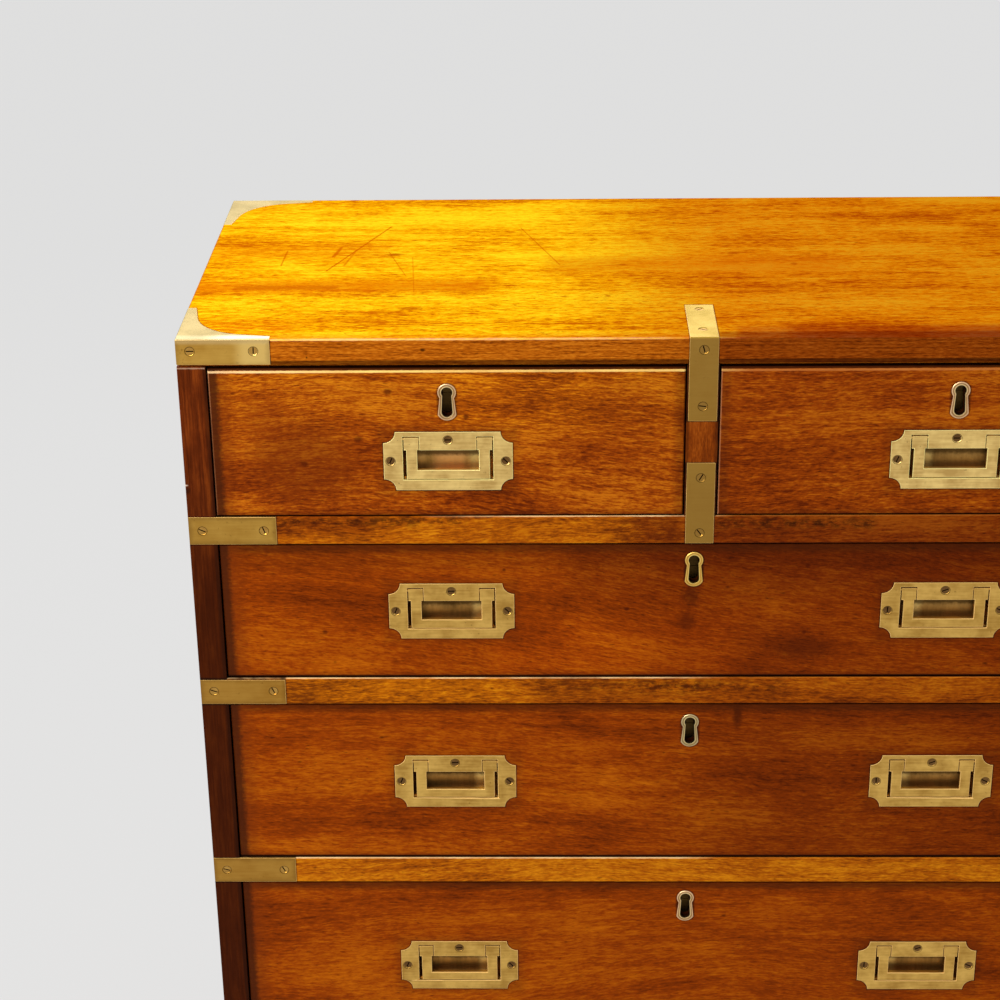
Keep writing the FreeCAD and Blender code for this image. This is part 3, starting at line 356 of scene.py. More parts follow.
def outline(distance_of, width, strength, colour=DIRT_AND_SHADE):
    """Old dirt and polish in the crack round a piece of brass."""
    def make(s):
        line = s.fade(distance_of(s), 0.0, width)
        return s.times(line, s.remap(s.cloudy(90), 0.3, 0.6, strength * 0.55, strength)), colour
    return make


def crack(names, centre, half, width, strength, mirrored=False, colour=DIRT_AND_SHADE):
    """The outline of a rectangular piece."""
    place = partial(from_box, names=names, centre=centre, half=half, mirrored=mirrored)
    return outline(place, width, strength, colour)


def only(region, stains):
    """Keeps stains to a region of the board."""
    def narrowed(make, s):
        mask, *tint = make(s)
        return s.times(mask, region(s)), *tint
    return [partial(narrowed, make) for make in stains]


def near_front(s):
    return s.fade(s.y, -0.05, -0.01)


def on_front(s):
    return s.fade(s.y, FRONT + 0.002, FRONT + 0.003)


def on_sides(s):
    return s.fade(s.size(s.x), HALF_WIDTH - 0.002, HALF_WIDTH - 0.003)


def on_top(s):
    return s.fade(s.z, TOP - 0.0003, TOP - 0.0006)


def near_top(s):
    return s.fade(s.z, TOP - 0.001, TOP - 0.0014)


def below_top(s):
    return s.fade(s.minus(TOP - 0.0012, s.z), 0.0, -0.0008)


def front_rim(s):
    """The strip of the top along its front arris."""
    return s.times(s.fade(s.y, FRONT + 0.005, FRONT + 0.014), on_top(s))


# ---- brass ----

def brass(name, base, patina, roughness, seed, brushed=(30, 30, 420), depth=0.6, stains=(), cloud=32.0,
          edges=False):
    """Old satin brass: cloudy patina, brushed lines, small pits, and on remade pieces rubbed edges painted
    bright.
    """
    s = Shader(name)
    clouds = s.cloudy(cloud, 3.0, 0.6, (seed, seed, seed))
    rubs = s.cloudy(brushed, 3.0, 0.6, (seed, 0, 0))
    pits = s.cloudy(260, 2.0, 0.5, (0, seed, 0))
    share = s.remap(s.plus(s.times(rubs, 0.32), s.times(clouds, 0.68)), 0.38, 0.62)
    colour = s.mix(s.times(share, depth), base, patina)
    colour = s.mix(s.remap(pits, 0.68, 0.76, 0.0, 0.5), colour, darker(patina, 0.5))
    colour = s.stained(colour, stains)
    metal = 1.0
    if edges:
        # Rubbed edges are painted paler and less metallic as a highlight; screw hole rims darker.
        rub = s.attribute("rub")
        wear_and_highlight = s.times(rub, s.remap(clouds, 0.3, 0.55, 0.5, 1.0), clamp=True)
        bright = tuple(min(1.0, part * 1.2 + 0.06) for part in linear(base)[:3]) + (1.0,)
        colour = s.mix(wear_and_highlight, colour, bright)
        colour = s.mix(s.times(rub, -0.85, clamp=True), colour, darker(patina, 0.12))
        metal = s.remap(wear_and_highlight, 0.0, 1.0, 1.0, 0.3)
    height = s.plus(s.times(rubs, 0.6), s.times(pits, 0.4))
    return s.finish({"Base Color": colour, "Metallic": metal, "Normal": s.bump(height, 0.15),
                     "Roughness": s.remap(share, 0, 1, roughness, roughness + 0.1)})


# ---- new pieces ----

def mesh_of(name, work, sharp_degrees=24):
    """The mesh of a finished bmesh, shaded smooth between its sharp edges."""
    mesh = bpy.data.meshes.new(name)
    work.to_mesh(mesh)
    work.free()
    mesh.polygons.foreach_set("use_smooth", [True] * len(mesh.polygons))
    mesh.set_sharp_from_angle(angle=math.radians(sharp_degrees))
    mesh.update()
    return mesh


def link(name, data):
    thing = bpy.data.objects.new(name, data)
    bpy.context.scene.collection.objects.link(thing)
    return thing


def add_piece(mesh, body, material, replaced=()):
    """A new piece of the scene, riding on a body, with a finish."""
    mesh.materials.clear()
    mesh.materials.append(material)
    piece = link(mesh.name, mesh)
    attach(piece, body)
    if replaced:
        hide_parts(*replaced)
    return piece


def body_of(node):
    return NODES[node].parent.name.removeprefix("body:")


def screw_holes(edges):
    """Parts edges into the rings round screws and all others."""
    around = {}
    for edge in edges:
        for vertex in edge.verts:
            around.setdefault(vertex, []).append(edge)
    holes, others, seen = [], [], set()
    for first in edges:
        if first in seen:
            continue
        seen.add(first)
        ring = [first]
        for edge in ring:
            for vertex in edge.verts:
                fresh = [near for near in around[vertex] if near not in seen]
                seen.update(fresh)
                ring += fresh
        columns = list(zip(*(vertex.co for edge in ring for vertex in edge.verts)))
        spread = max(max(column) - min(column) for column in columns)
        (holes if spread < HOLE_LARGEST else others).extend(ring)
    return holes, others


def rubbed(node, material, rounds):
    """A CAD node made again with rubbed edges, marked to be painted bright, and old dirt round its screws.

    Rounds are (edge test, width, steps, how bright the edge is rubbed and painted as a highlight).
    """
    work = bmesh.new()
    work.from_mesh(NODES[node].data)
    bmesh.ops.remove_doubles(work, verts=work.verts, dist=2e-6)
    bmesh.ops.dissolve_limit(work, angle_limit=math.radians(0.8), verts=work.verts, edges=work.edges)
    rub = work.faces.layers.float.new("rub")

    def bevel(edges, width, steps, mark):
        made = bmesh.ops.bevel(work, geom=edges, offset=width, segments=steps, profile=0.5, affect="EDGES",
                               clamp_overlap=False)
        for face in made["faces"]:
            clean = mark < 0 and face.calc_center_median().z > TOP - 0.001
            face[rub] = mark * 0.25 if clean else mark

    for chosen, width, steps, mark in rounds:
        edges = [edge for edge in work.edges
                 if len(edge.link_faces) == 2 and edge.calc_face_angle() > math.radians(40)
                 and chosen(edge.verts[0].co, edge.verts[1].co)]
        holes, others = screw_holes(edges)
        bevel(holes, HOLE_RIM, 1, -1.0)
        bevel(others, width, steps, mark)
    piece = add_piece(mesh_of(f"{node}_rubbed", work), body_of(node), material, (node,))
    flat = piece.modifiers.new("flat_faces", "WEIGHTED_NORMAL")
    flat.weight = 100
    flat.keep_sharp = True


def arc_points(height, radius, start, end, steps):
    """Points round an arc, angles in degrees, both ends included."""
    turns = (math.radians(start + (end - start) * step / steps) for step in range(steps + 1))
    return [Vector((radius * math.cos(turn), height + radius * math.sin(turn))) for turn in turns]


def keyhole_outline(head, waist_half, waist_drop, foot_half, foot_drop, drop):
    """Points round a keyhole about its head's centre: head, waist, flared foot."""
    waist = math.degrees(math.atan2(-waist_drop, waist_half))
    foot_centre = (drop ** 2 - foot_drop ** 2 - foot_half ** 2) / (2 * (drop - foot_drop))
    foot_radius = drop - foot_centre
    lean = math.degrees(math.acos(foot_half / foot_radius))
    lean = lean if foot_drop < foot_centre else -lean
    top, bottom = Vector((-waist_half, -waist_drop)), Vector((-foot_half, -foot_drop))
    side = [top.lerp(bottom, step / 6) for step in range(1, 6)]
    points = arc_points(0, head, waist, 180 - waist, 24) + side
    points += arc_points(-foot_centre, foot_radius, 180 - lean, 360 + lean, 14)
    points += [Vector((-point.x, point.y)) for point in reversed(side)]
    return points


# The keyhole ring's section: the share of the way in to its hole, and the depth.
RING_PROFILE = (
    (0.0, 0.0034), (0.0, 0.001), (0.03, 0.00055), (0.1, 0.0002), (0.22, 0.0), (0.36, 0.00008),
    (0.5, 0.00036), (0.64, 0.00058), (0.74, 0.00052), (0.83, 0.0003), (0.92, 0.00036),
    (0.98, 0.0007), (1.0, 0.0012), (1.0, 0.0034),
)


def escutcheon(drawer, material):
    """A keyhole's brass ring: a round outer bead, a hollow and a thin inner rim."""
    node = f"{drawer}_escutcheon"
    low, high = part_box(node)
    middle, head, crest = (low.x + high.x) / 2, high.z - KEY_HEAD, low.y
    outer = keyhole_outline(KEY_HEAD, 0.00655, 0.0052, 0.00835, 0.0212, 0.0264)
    inner = keyhole_outline(0.0046, 0.0037, 0.00273, 0.0045, 0.0183, 0.0228)
    work = bmesh.new()
    reach = work.verts.layers.float.new("reach")
    rings = []
    for share, depth in RING_PROFILE:
        places = (a.lerp(b, share) for a, b in zip(outer, inner))
        rings.append([work.verts.new((middle + place.x, crest + depth, head + place.y)) for place in places])
        for vertex in rings[-1]:
            vertex[reach] = share
    for ring, inward in zip(rings, rings[1:] + rings[:1]):
        for corners in zip(ring, ring[1:] + ring[:1], inward[1:] + inward[:1], inward):
            work.faces.new(corners)
    bmesh.ops.recalc_face_normals(work, faces=work.faces)
    add_piece(mesh_of(f"{drawer}_key_ring", work, 50), body_of(node), material, (node,))


def pan_scoop(name, body, centre, facing, scale, material):
    """The dished hollow behind a drop handle that faces front, left or right."""
    columns, rows = 40, 22
    edge, back = 0.0027 * scale, (PAN_FLOOR - 0.0002) * scale
    floor = back - 0.0008
    middle = -0.0038
    half_down, half_up = middle - PAN_BOTTOM, PAN_TOP - middle
    work = bmesh.new()

    def vertex(column, row, flat):
        across = -math.cos(math.pi * column / columns)
        up = -math.cos(math.pi * row / rows)
        rise = (abs(across) ** 12, abs(up) ** 5 if up < 0 else 0.45 * abs(up) ** 8)
        depth = back if flat else edge + (floor - edge) * (1 - rise[0]) * (1 - rise[1])
        height = (middle + up * (half_down if up < 0 else half_up)) * scale * 0.996
        across *= (PAN_HALF - 0.00005) * scale
        turned = {"front": (across, depth, height), "left": (depth, -across, height),
                  "right": (-depth, across, height)}
        return work.verts.new(Vector(centre) + Vector(turned[facing]))

    front, behind = ([[vertex(column, row, flat) for row in range(rows + 1)] for column in range(columns + 1)]
                     for flat in (False, True))
    for sheet in (front, behind):
        for near, far in zip(sheet, sheet[1:]):
            for corners in zip(near, far, far[1:], near[1:]):
                work.faces.new(corners)
    rim = ([(column, 0) for column in range(columns)] + [(columns, row) for row in range(rows)]
           + [(column, rows) for column in range(columns, 0, -1)] + [(0, row) for row in range(rows, 0, -1)])
    for (a, b), (c, d) in zip(rim, rim[1:] + rim[:1]):
        work.faces.new((front[a][b], front[c][d], behind[c][d], behind[a][b]))
    bmesh.ops.remove_doubles(work, verts=work.verts, dist=1e-5)
    bmesh.ops.recalc_face_normals(work, faces=work.faces)
    add_piece(mesh_of(name, work, 60), body, material)


# ---- the wood of each board ----

TOP_PALETTE = ((196, 100, 2), (250, 177, 3), (255, 218, 26))
TOP_EDGE_PALETTE = ((112, 50, 6), (172, 88, 11), (206, 122, 26))
FRONT_PALETTE = ((102, 38, 3), (160, 74, 5), (204, 121, 16))
SECOND_PALETTE = ((92, 32, 1), (145, 59, 2), (184, 96, 7))
SIDE_PALETTE = ((64, 23, 5), (108, 45, 8), (150, 74, 18))
STILE_PALETTE = ((62, 21, 3), (92, 36, 7), (124, 56, 14))
RAIL_PALETTE = ((104, 44, 4), (172, 88, 5), (212, 132, 14))
DIVIDER_PALETTE = ((84, 32, 5), (130, 58, 8), (168, 86, 20))
BASE_PALETTE = ((92, 38, 6), (140, 66, 10), (180, 98, 22))
LINING_PALETTE = ((112, 66, 30), (158, 104, 54), (190, 140, 82))
BACK_PALETTE = ((84, 48, 22), (124, 78, 40), (156, 106, 60))
# A brown for painted shade, with grime, along edges beside the gaps and round the handle plates.
GRIME_AND_SHADE = (66, 26, 6)

# The scratches on the top, each as start, end, width and strength.
TOP_SCRATCHES = (
    ((-0.2888, 0.1133), (-0.3417, -0.0222), 0.0013, 0.75),
    ((-0.318, 0.0402), (-0.3265, -0.0078), 0.0016, 0.5),
    ((-0.3387, 0.0192), (-0.3332, 0.0475), 0.0026, 0.75),
    ((-0.3841, 0.0383), (-0.386, -0.0068), 0.0013, 0.6),
    ((-0.2865, 0.0335), (-0.2667, -0.037), 0.0009, 0.5),
    ((-0.263, 0.018), (-0.2566, -0.083), 0.0009, 0.4),
    ((-0.1609, 0.1067), (-0.1231, -0.0082), 0.001, 0.6),
)
# The dark spots on the top, each as place, radius, strength and length along the grain.
TOP_SPOTS = (
    ((-0.2803, 0.0252), 0.006, 0.85, 2.0), ((-0.4251, 0.0528), 0.006, 0.55, 1.6),
    ((-0.4482, 0.0592), 0.005, 0.6, 1.6), ((-0.4463, -0.0829), 0.005, 0.6, 1.4),
    ((-0.2576, -0.1277), 0.0062, 0.7, 2.6), ((-0.2739, -0.0954), 0.003, 0.75, 4.0),
    ((-0.1949, -0.0447), 0.003, 0.7, 3.0), ((-0.3866, -0.1284), 0.003, 0.6, 2.5),
    ((-0.3456, -0.1435), 0.003, 0.5, 3.0), ((-0.0652, -0.0083), 0.0042, 0.8, 1.6),
    ((-0.0803, -0.0964), 0.0042, 0.75, 0.9), ((0.0415, 0.0251), 0.006, 0.7, 1.4),
    ((0.096, -0.008), 0.006, 0.7, 0.8),
)


def give(material, *names):
    for name in names:
        slots = NODES[name].data.materials
        slots.clear()
        slots.append(material)


def bracket_edge(s):
    """The distance into the wood from a corner bracket's swept edge, on the top."""
    u, v = s.minus(HALF_WIDTH, s.size(s.x)), s.minus(-FRONT, s.size(s.y))
    centre, radius, bend = 0.06416, 0.05227, 0.055
    slope = (STRAP_HALF - BRACKET_TIP) / (BRACKET_LEG - bend)

    def from_tip(along, across):
        return s.minus(across, s.minus(STRAP_HALF, s.times(s.minus(along, bend), slope)))

    edge = s.apart(s.length(s.minus(u, centre), s.minus(v, centre)), radius)
    edge = s.choose(s.math("GREATER_THAN", u, bend), edge, from_tip(u, v))
    edge = s.choose(s.math("GREATER_THAN", v, bend), edge, from_tip(v, u))
    return s.most(s.size(edge), s.minus(s.most(u, v), BRACKET_LEG))


def top_edges(s):
    """The top board's edge, browner than its face."""
    tone = s.plus(s.cloudy((14.0, 14.0, 560.0), 4.0, 0.75), s.centred(s.cloudy((170.0, 170.0, 900.0)), 0.8))
    dark = s.ramp(tone, (0.27, 0.5, 0.73), TOP_EDGE_PALETTE)
    return s.fade(s.minus(TOP - 0.0016, s.z), 0.0, -0.0007), dark


def top_arris_highlight(s):
    """The top board's upper arris, rubbed pale on the left: a painted highlight as well as wear."""
    inset = s.most(s.minus(s.size(s.y), -FRONT - 0.0013), s.minus(s.size(s.x), HALF_WIDTH - 0.0013))
    ridge = s.math("MINIMUM", inset, s.times(s.minus(TOP - 0.002, s.z), -1.0))
    wear_and_highlight = s.times(s.remap(s.cloudy(24), 0.35, 0.6, 0.3, 0.9), s.remap(s.x, -0.12, 0.04, 0.65, 0.0))
    return s.times(s.fade(rough_edge(s, ridge, 0.001, 160.0), 0.0005, 0.0), wear_and_highlight), (248, 200, 140)


def top_wood():
    """The top board: golden at the left, painted darker and redder to the right as shade, brown on its edges.
    """
    amber, brown_streak = (212, 104, 2), (176, 84, 2)
    stains = [
        # Painted shade: the right half of the top darker where the light falls off.
        tint_box("XY", (0.05, -0.3), (0.6, 0.3), 0.22, 0.75, 0.47, 0.8),
        stain_box("XY", (-0.47, -0.072), (-0.2, -0.06), 0.022, amber, 0.6, 0.02),
        stain_box("XY", (-0.42, -0.072), (-0.33, -0.067), 0.006, (190, 88, 2), 0.6, 0.012),
        stain_box("XY", (-0.12, -0.018), (0.13, 0.0), 0.03, (206, 100, 3), 0.42, 0.03),
        mottle("XY", (-0.405, -0.178), (0.045, 0.014), 0.02, 55, amber, 0.9, 5.0, 0.4, 0.58),
        stain_box("XY", (-0.48, 0.03), (-0.3, 0.045), 0.03, amber, 0.35, 0.03),
        mottle("XY", (-0.12, -0.14), (0.3, 0.075), 0.03, 120, brown_streak, 0.85, 4.0, 0.56, 0.68),
        mottle("XY", (-0.05, -0.02), (0.4, 0.09), 0.05, 90, brown_streak, 0.6, 5.0, 0.6, 0.72),
    ]
    stains += [stain_line("XY", start, end, width, (196, 84, 0), strength)
               for start, end, width, strength in TOP_SCRATCHES]
    stains += [stain_spot("XY", centre, radius, (170, 66, 1), 0.85 * strength, stretch, 0.0035)
               for centre, radius, strength, stretch in TOP_SPOTS]
    stains += [
        outline(bracket_edge, 0.0012, 0.85, (110, 48, 6)),
        crack("XY", (0, FRONT + 0.042), (STRAP_HALF, 0.042), 0.0013, 0.8, colour=(100, 44, 6)),
        top_edges,
        top_arris_highlight,
    ]
    stains += only(near_top, [
        tint_box("XY", (0.036, FRONT - 0.01), (0.6, FRONT + 0.022), 0.012, 0.77, 0.56, 1.0, 0.008),
        tint_box("XY", (0.085, FRONT - 0.01), (0.6, FRONT + 0.02), 0.02, 0.8, 0.64, 1.0, 0.008),
        tint_box("XY", (0.016, FRONT - 0.01), (0.6, FRONT + 0.01), 0.007, 0.58, 0.46, 1.0, 0.004),
    ])
    stains += only(on_top, [
        tint_box("XY", (-0.6, FRONT - 0.01), (0.0, FRONT + 0.003), 0.013, 0.86, 0.66, 1.3, 0.004),
        stain_box("XY", (HALF_WIDTH - 0.0004, -1), (1, 1), 0.0016, (128, 56, 5), 0.85, 0.0008, True),
    ])
    bracket, bracket_half = BRACKET_LEG / 2, (BRACKET_LEG / 2, 0.013)
    front = only(on_front, [
        crack("XZ", (HALF_WIDTH - bracket, TOP - 0.012), bracket_half, 0.0014, 0.95, True),
        crack("XZ", (0, TOP - 0.012), (STRAP_HALF, 0.013), 0.0011, 0.8),
        stain_spot("XZ", (-0.2429, 0.8636), 0.0022, DIRT_AND_SHADE, 0.8, 1.6),
        stain_spot("XZ", (-0.3435, 0.8571), 0.0014, DIRT_AND_SHADE, 0.8, 0.8),
        # Painted shade: the front edge darker to the right, where the light falls off.
        tint_box("XZ", (0.02, 0.8), (0.6, 0.9), 0.06, 0.58, 0.44, 0.6),
        # Painted shade in the groove under the top's front edge.
        stain_box("XZ", (-1, 0.8), (1, 0.8535), 0.0015, DIRT_AND_SHADE, 0.7),
    ])
    side = only(on_sides, [crack("YZ", (-FRONT - bracket, TOP - 0.012), bracket_half, 0.0014, 0.9, True)])
    return wood("top_wood", "top", TOP_PALETTE, 1.0, broad=0.9, fine=1.25, cloud=0.9, pores=0.75,
                stains=stains + only(below_top, front + side), waver=0.3, roughness=0.4, gloss=0.0)


def plates_of(drawer):
    """The node of a drawer's handle plates, the place of their face, and their middle's height."""
    node = f"{drawer}_handle_plate" + ("" if drawer.startswith("top") else "s")
    low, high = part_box(node)
    return node, low.y, (low.z + high.z) / 2


def hands_of(drawer):
    """The side and name of each handle: one on a top drawer, two on a long one."""
    return [(side, hand) for side, hand in HANDS if drawer.endswith(hand) or not drawer.startswith("top")]


def front_wood(drawer, palette, seed, marks, settings):
    """A drawer front: painted shade by its ends, edges and brass, with grime; a rubbed top edge painted
    bright.
    """
    low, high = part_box(f"{drawer}_front")
    crown = drawer.startswith("top")
    key_low, key_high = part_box(f"{drawer}_escutcheon")
    key_x, head_z = (key_low.x + key_high.x) / 2, key_high.z - KEY_HEAD
    side_highlight = 0.5 if low.x > 0 else 0.22
    # How strong the painted shadow on the front's left end is.
    side_shadow = 1.0 if low.x < -0.1 else 0.35
    stains = list(marks)
    # Painted shade under the rail above a lower drawer.
    if not crown:
        stains.append(stain_box("XZ", (-1, high.z - 0.003), (1, 1), 0.009, (62, 26, 5), 0.65, 0.004))
    stains += [
        # Painted shadow cast on the front's left end by the board beside it.
        stain_box("XZ", (low.x - 1, 0), (low.x + 0.01, 1), 0.016, (110, 44, 6), 0.5 * side_shadow, 0.006),
        stain_box("XZ", (low.x - 1, 0), (low.x + 0.005, 1), 0.0065, (62, 26, 8), 0.85 * side_shadow, 0.006),
        # Painted shade with grime along the right and lower edges, and a painted dark line in the gap below.
        stain_box("XZ", (high.x - 0.003, 0), (high.x + 1, 1), 0.01, GRIME_AND_SHADE, 0.4),
        stain_box("XZ", (-1, 0), (1, low.z + 0.001), 0.007, GRIME_AND_SHADE, 0.4),
        stain_box("XZ", (-1, 0), (1, low.z + (0.0004 if crown else 0.0016)), 0.0009, DIRT_AND_SHADE, 0.9, 0.0006),
    ]
    for side, _ in hands_of(drawer):
        x, z = side * PLATE_X, plates_of(drawer)[2]
        # Dirt in the crack round each plate, and a soft painted shade round the plate.
        stains += [outline(partial(from_plate, names="XZ", centre=(x, z)), 0.0015, 0.85),
                   stain_box("XZ", (x - 0.056, z - 0.027), (x + 0.056, z + 0.027), 0.012, GRIME_AND_SHADE, 0.3, 0.006)]
    keyhole = outline(lambda s: s.minus(from_line(s, "XZ", (key_x, head_z), (key_x, head_z - 0.018)), 0.0078),
                      0.0024, 0.75)

    # A painted highlight down the front's left arris, stronger on the right-hand drawer.
    def side_arris_highlight(s):
        wear_and_highlight = s.remap(s.z, high.z - 0.05, high.z - 0.01, side_highlight, 0.5)
        edge = rough_edge(s, s.minus(s.x, low.x), 0.0008, 120.0)
        return s.times(s.fade(edge, 0.0009, 0.0014), wear_and_highlight), (190, 130, 90)

    # A painted highlight, with rubbed wear, along the front's upper arris.
    def worn_arris_highlight(s):
        rise = rough_edge(s, s.apart(s.z, high.z - 0.0031), 0.0007, 200.0)
        pale = s.mix(s.remap(s.x, -0.46, -0.3), (246, 206, 160), (255, 216, 124))
        pale = s.mix(s.remap(s.x, -0.02, 0.04), pale, (190, 112, 50))
        return s.times(s.fade(rise, 0.0006, 0.0015), s.remap(s.cloudy(18), 0.3, 0.6, 0.65, 1.0)), pale

    def outer(s):
        return s.fade(s.y, low.y + 0.003, low.y + 0.008)

    def raw(s):
        """The unpolished wood of the front's inner side."""
        return s.fade(s.y, low.y + 0.012, low.y + 0.006, 0.5), (146, 96, 58)

    def deep_shade_and_dirt(s):
        """Painted shade and dirt on the front's edges, just inside the opening."""
        depth = s.minus(s.y, low.y)
        inner = s.fade(rough_edge(s, depth, 0.004, 90.0), 0.0035, 0.01, 0.92)
        return s.times(inner, s.fade(depth, 0.0013, 0.0007)), DIRT_AND_SHADE

    if crown:
        # Painted shade in the gap under the top board.
        brow_shade = stain_box("XZ", (-1, high.z - 0.0012), (1, 1), 0.001, (52, 20, 3), 0.92, 0.0004)
        stains += [side_arris_highlight, brow_shade, worn_arris_highlight]
    stains = only(outer, stains) + [raw, deep_shade_and_dirt, keyhole]
    return wood(f"{drawer}_front_wood", "X", palette, seed, stains=stains, **settings)


def strap_outlines(names, edge):
    """The dirty cracks round the rail straps and the lower bracket, in from a face's outer edge."""
    made = [crack(names, (edge - STRAP_LEG / 2, (low + high) / 2), (STRAP_LEG / 2, (high - low) / 2), 0.0014,
                  0.9, True) for low, high in RAILS]
    return made + [crack(names, (edge - BRACKET_LEG / 2, 0.0), (BRACKET_LEG / 2, 0.122), 0.0014, 0.9, True)]


def worn_lip_highlight(high, start):
    """A rail's upper arris, rubbed and painted pale as a highlight from start to the middle, duller on the
    right.
    """
    def make(s):
        rise = rough_edge(s, s.apart(s.z, high), 0.0007, 220.0)
        share = s.times(s.remap(s.x, start, start + 0.1), s.remap(s.x, -0.01, 0.03, 1.0, 0.2))
        share = s.times(share, s.remap(s.cloudy(34, 3.0), 0.35, 0.55, 0.4, 0.95))
        pale = s.mix(s.remap(s.x, -0.01, 0.03), (240, 202, 146), (220, 150, 64))
        return s.times(s.fade(rise, 0.0001, 0.0008), share), pale
    return make


def grime_and_shade_inside(s):
    """Painted shade and old dirt on a board just inside the openings, thinning out towards the back."""
    inside = s.fade(s.y, FRONT + 0.0024, FRONT + 0.0012)
    return s.times(inside, s.fade(s.y, FRONT + 0.012, FRONT + 0.06)), DIRT_AND_SHADE


def stile(s):
    """A side board's front edge, darker than its side."""
    tone = s.plus(s.cloudy((460, 60, 20), 3.0, 0.65), s.centred(s.cloudy((85, 40, 32), 4.0, 0.65), 0.7))
    dark = s.ramp(tone, (0.25, 0.5, 0.75), STILE_PALETTE)
    return s.fade(s.minus(s.y, FRONT + 0.0004), 0.0, 0.0006), dark


def side_wood(name, seed):
    """A side board: a pale painted highlight on its upper end, painted shade by the openings, the left one's
    nick.
    """
    low = stain_box("YZ", (-1, -1), (FRONT + 0.001, 0.6), 0.2, (50, 16, 2), 0.76)
    # Painted shade along the openings: the stile's inner edge and the side's inner face.
    inner = stain_box("XZ", (OPENING - 0.1, -1), (OPENING + 0.0016, 1), 0.003, DIRT_AND_SHADE, 0.6, mirrored=True)
    # A painted highlight along the stile's upper end, under the bracket.
    front = [stain_box("XZ", (HALF_WIDTH - 0.024, 0.8471), (HALF_WIDTH, 0.8476), 0.0007, (190, 158, 130),
                       0.55, 0.0008, True),
             stain_spot("XZ", (-0.4552, 0.7312), 0.005, DIRT_AND_SHADE, 0.6, 0.7),
             stain_spot("XZ", (-0.4564, 0.7362), 0.0011, (206, 180, 160), 0.85, 2.2)]
    cracks = only(on_front, front + strap_outlines("XZ", HALF_WIDTH))
    *straps, bracket = only(on_sides, strap_outlines("YZ", -FRONT))
    carry = partial(from_plate, names="YZ", centre=(0, CARRY_HEIGHT), scale=CARRY_SCALE)
    cracks += only(near_front, straps) + [bracket, outline(carry, 0.0018, 0.8)]
    return wood(name, "Z", SIDE_PALETTE, seed, slant=0.03, cloud=0.6, broad=0.95, fine=0.9,
                stains=[stile, low, inner] + cracks)


def rail_wood():
    """The rails: mottled, painted darker as shade right of the divider, upper arrises painted pale as
    highlights.
    """
    stains = [
        mottle("XZ", (-0.3, 0.701), (0.09, 0.0045), 0.006, 130, (60, 24, 4), 0.9),
        tint_box("XZ", (-0.6, 0.694), (-0.3, 0.71), 0.012, 0.8, 0.69, 0.9, 0.01),
        # Painted shade: the top rail darker to the right of the divider, where the light falls off.
        tint_box("XZ", (-0.045, 0.678), (0.6, 0.71), 0.03, 0.6, 0.47, 0.8, 0.02),
        tint_box("XZ", (0.013, 0.678), (0.6, 0.71), 0.005, 0.76, 0.62, 0.9),
        mottle("XZ", (-0.045, 0.69), (0.028, 0.012), 0.012, 120, (88, 30, 4), 0.8),
        mottle("XZ", (0.085, 0.698), (0.07, 0.005), 0.006, 110, (48, 18, 3), 0.95),
        # Painted light and shade: the second rail lighter at its left end and darker to the right.
        tint_box("XZ", (-0.6, 0.5), (-0.22, 0.56), 0.08, 1.16, 1.28, 1.0),
        tint_box("XZ", (-0.1, 0.5), (0.6, 0.56), 0.08, 0.8, 0.72, 0.9),
        tint_box("XZ", (0.03, 0.5), (0.6, 0.56), 0.06, 0.97, 0.91, 0.9),
        mottle("XZ", (-0.07, 0.533), (0.075, 0.006), 0.01, 120, (84, 34, 4), 0.9),
        mottle("XZ", (0.02, 0.532), (0.065, 0.005), 0.007, 120, (78, 30, 4), 0.9),
    ]
    for low, high in RAILS:
        stains.append(worn_lip_highlight(high, -0.25 if high > 0.7 else -1.0))
        # Painted shade with grime along the rail's lower edge.
        stains.append(stain_box("XZ", (-1, low - 0.001), (1, low + 0.0003), 0.0012, GRIME_AND_SHADE, 0.4))
    stains += [grime_and_shade_inside] + strap_outlines("XZ", HALF_WIDTH)
    stains.append(crack("XZ", (0, LOWER_STRAP[0]), (STRAP_HALF, LOWER_STRAP[1]), 0.0012, 0.8))
    return wood("rail_wood", "X", RAIL_PALETTE, 5.0, fine=0.9, cloud=0.8, stains=stains)


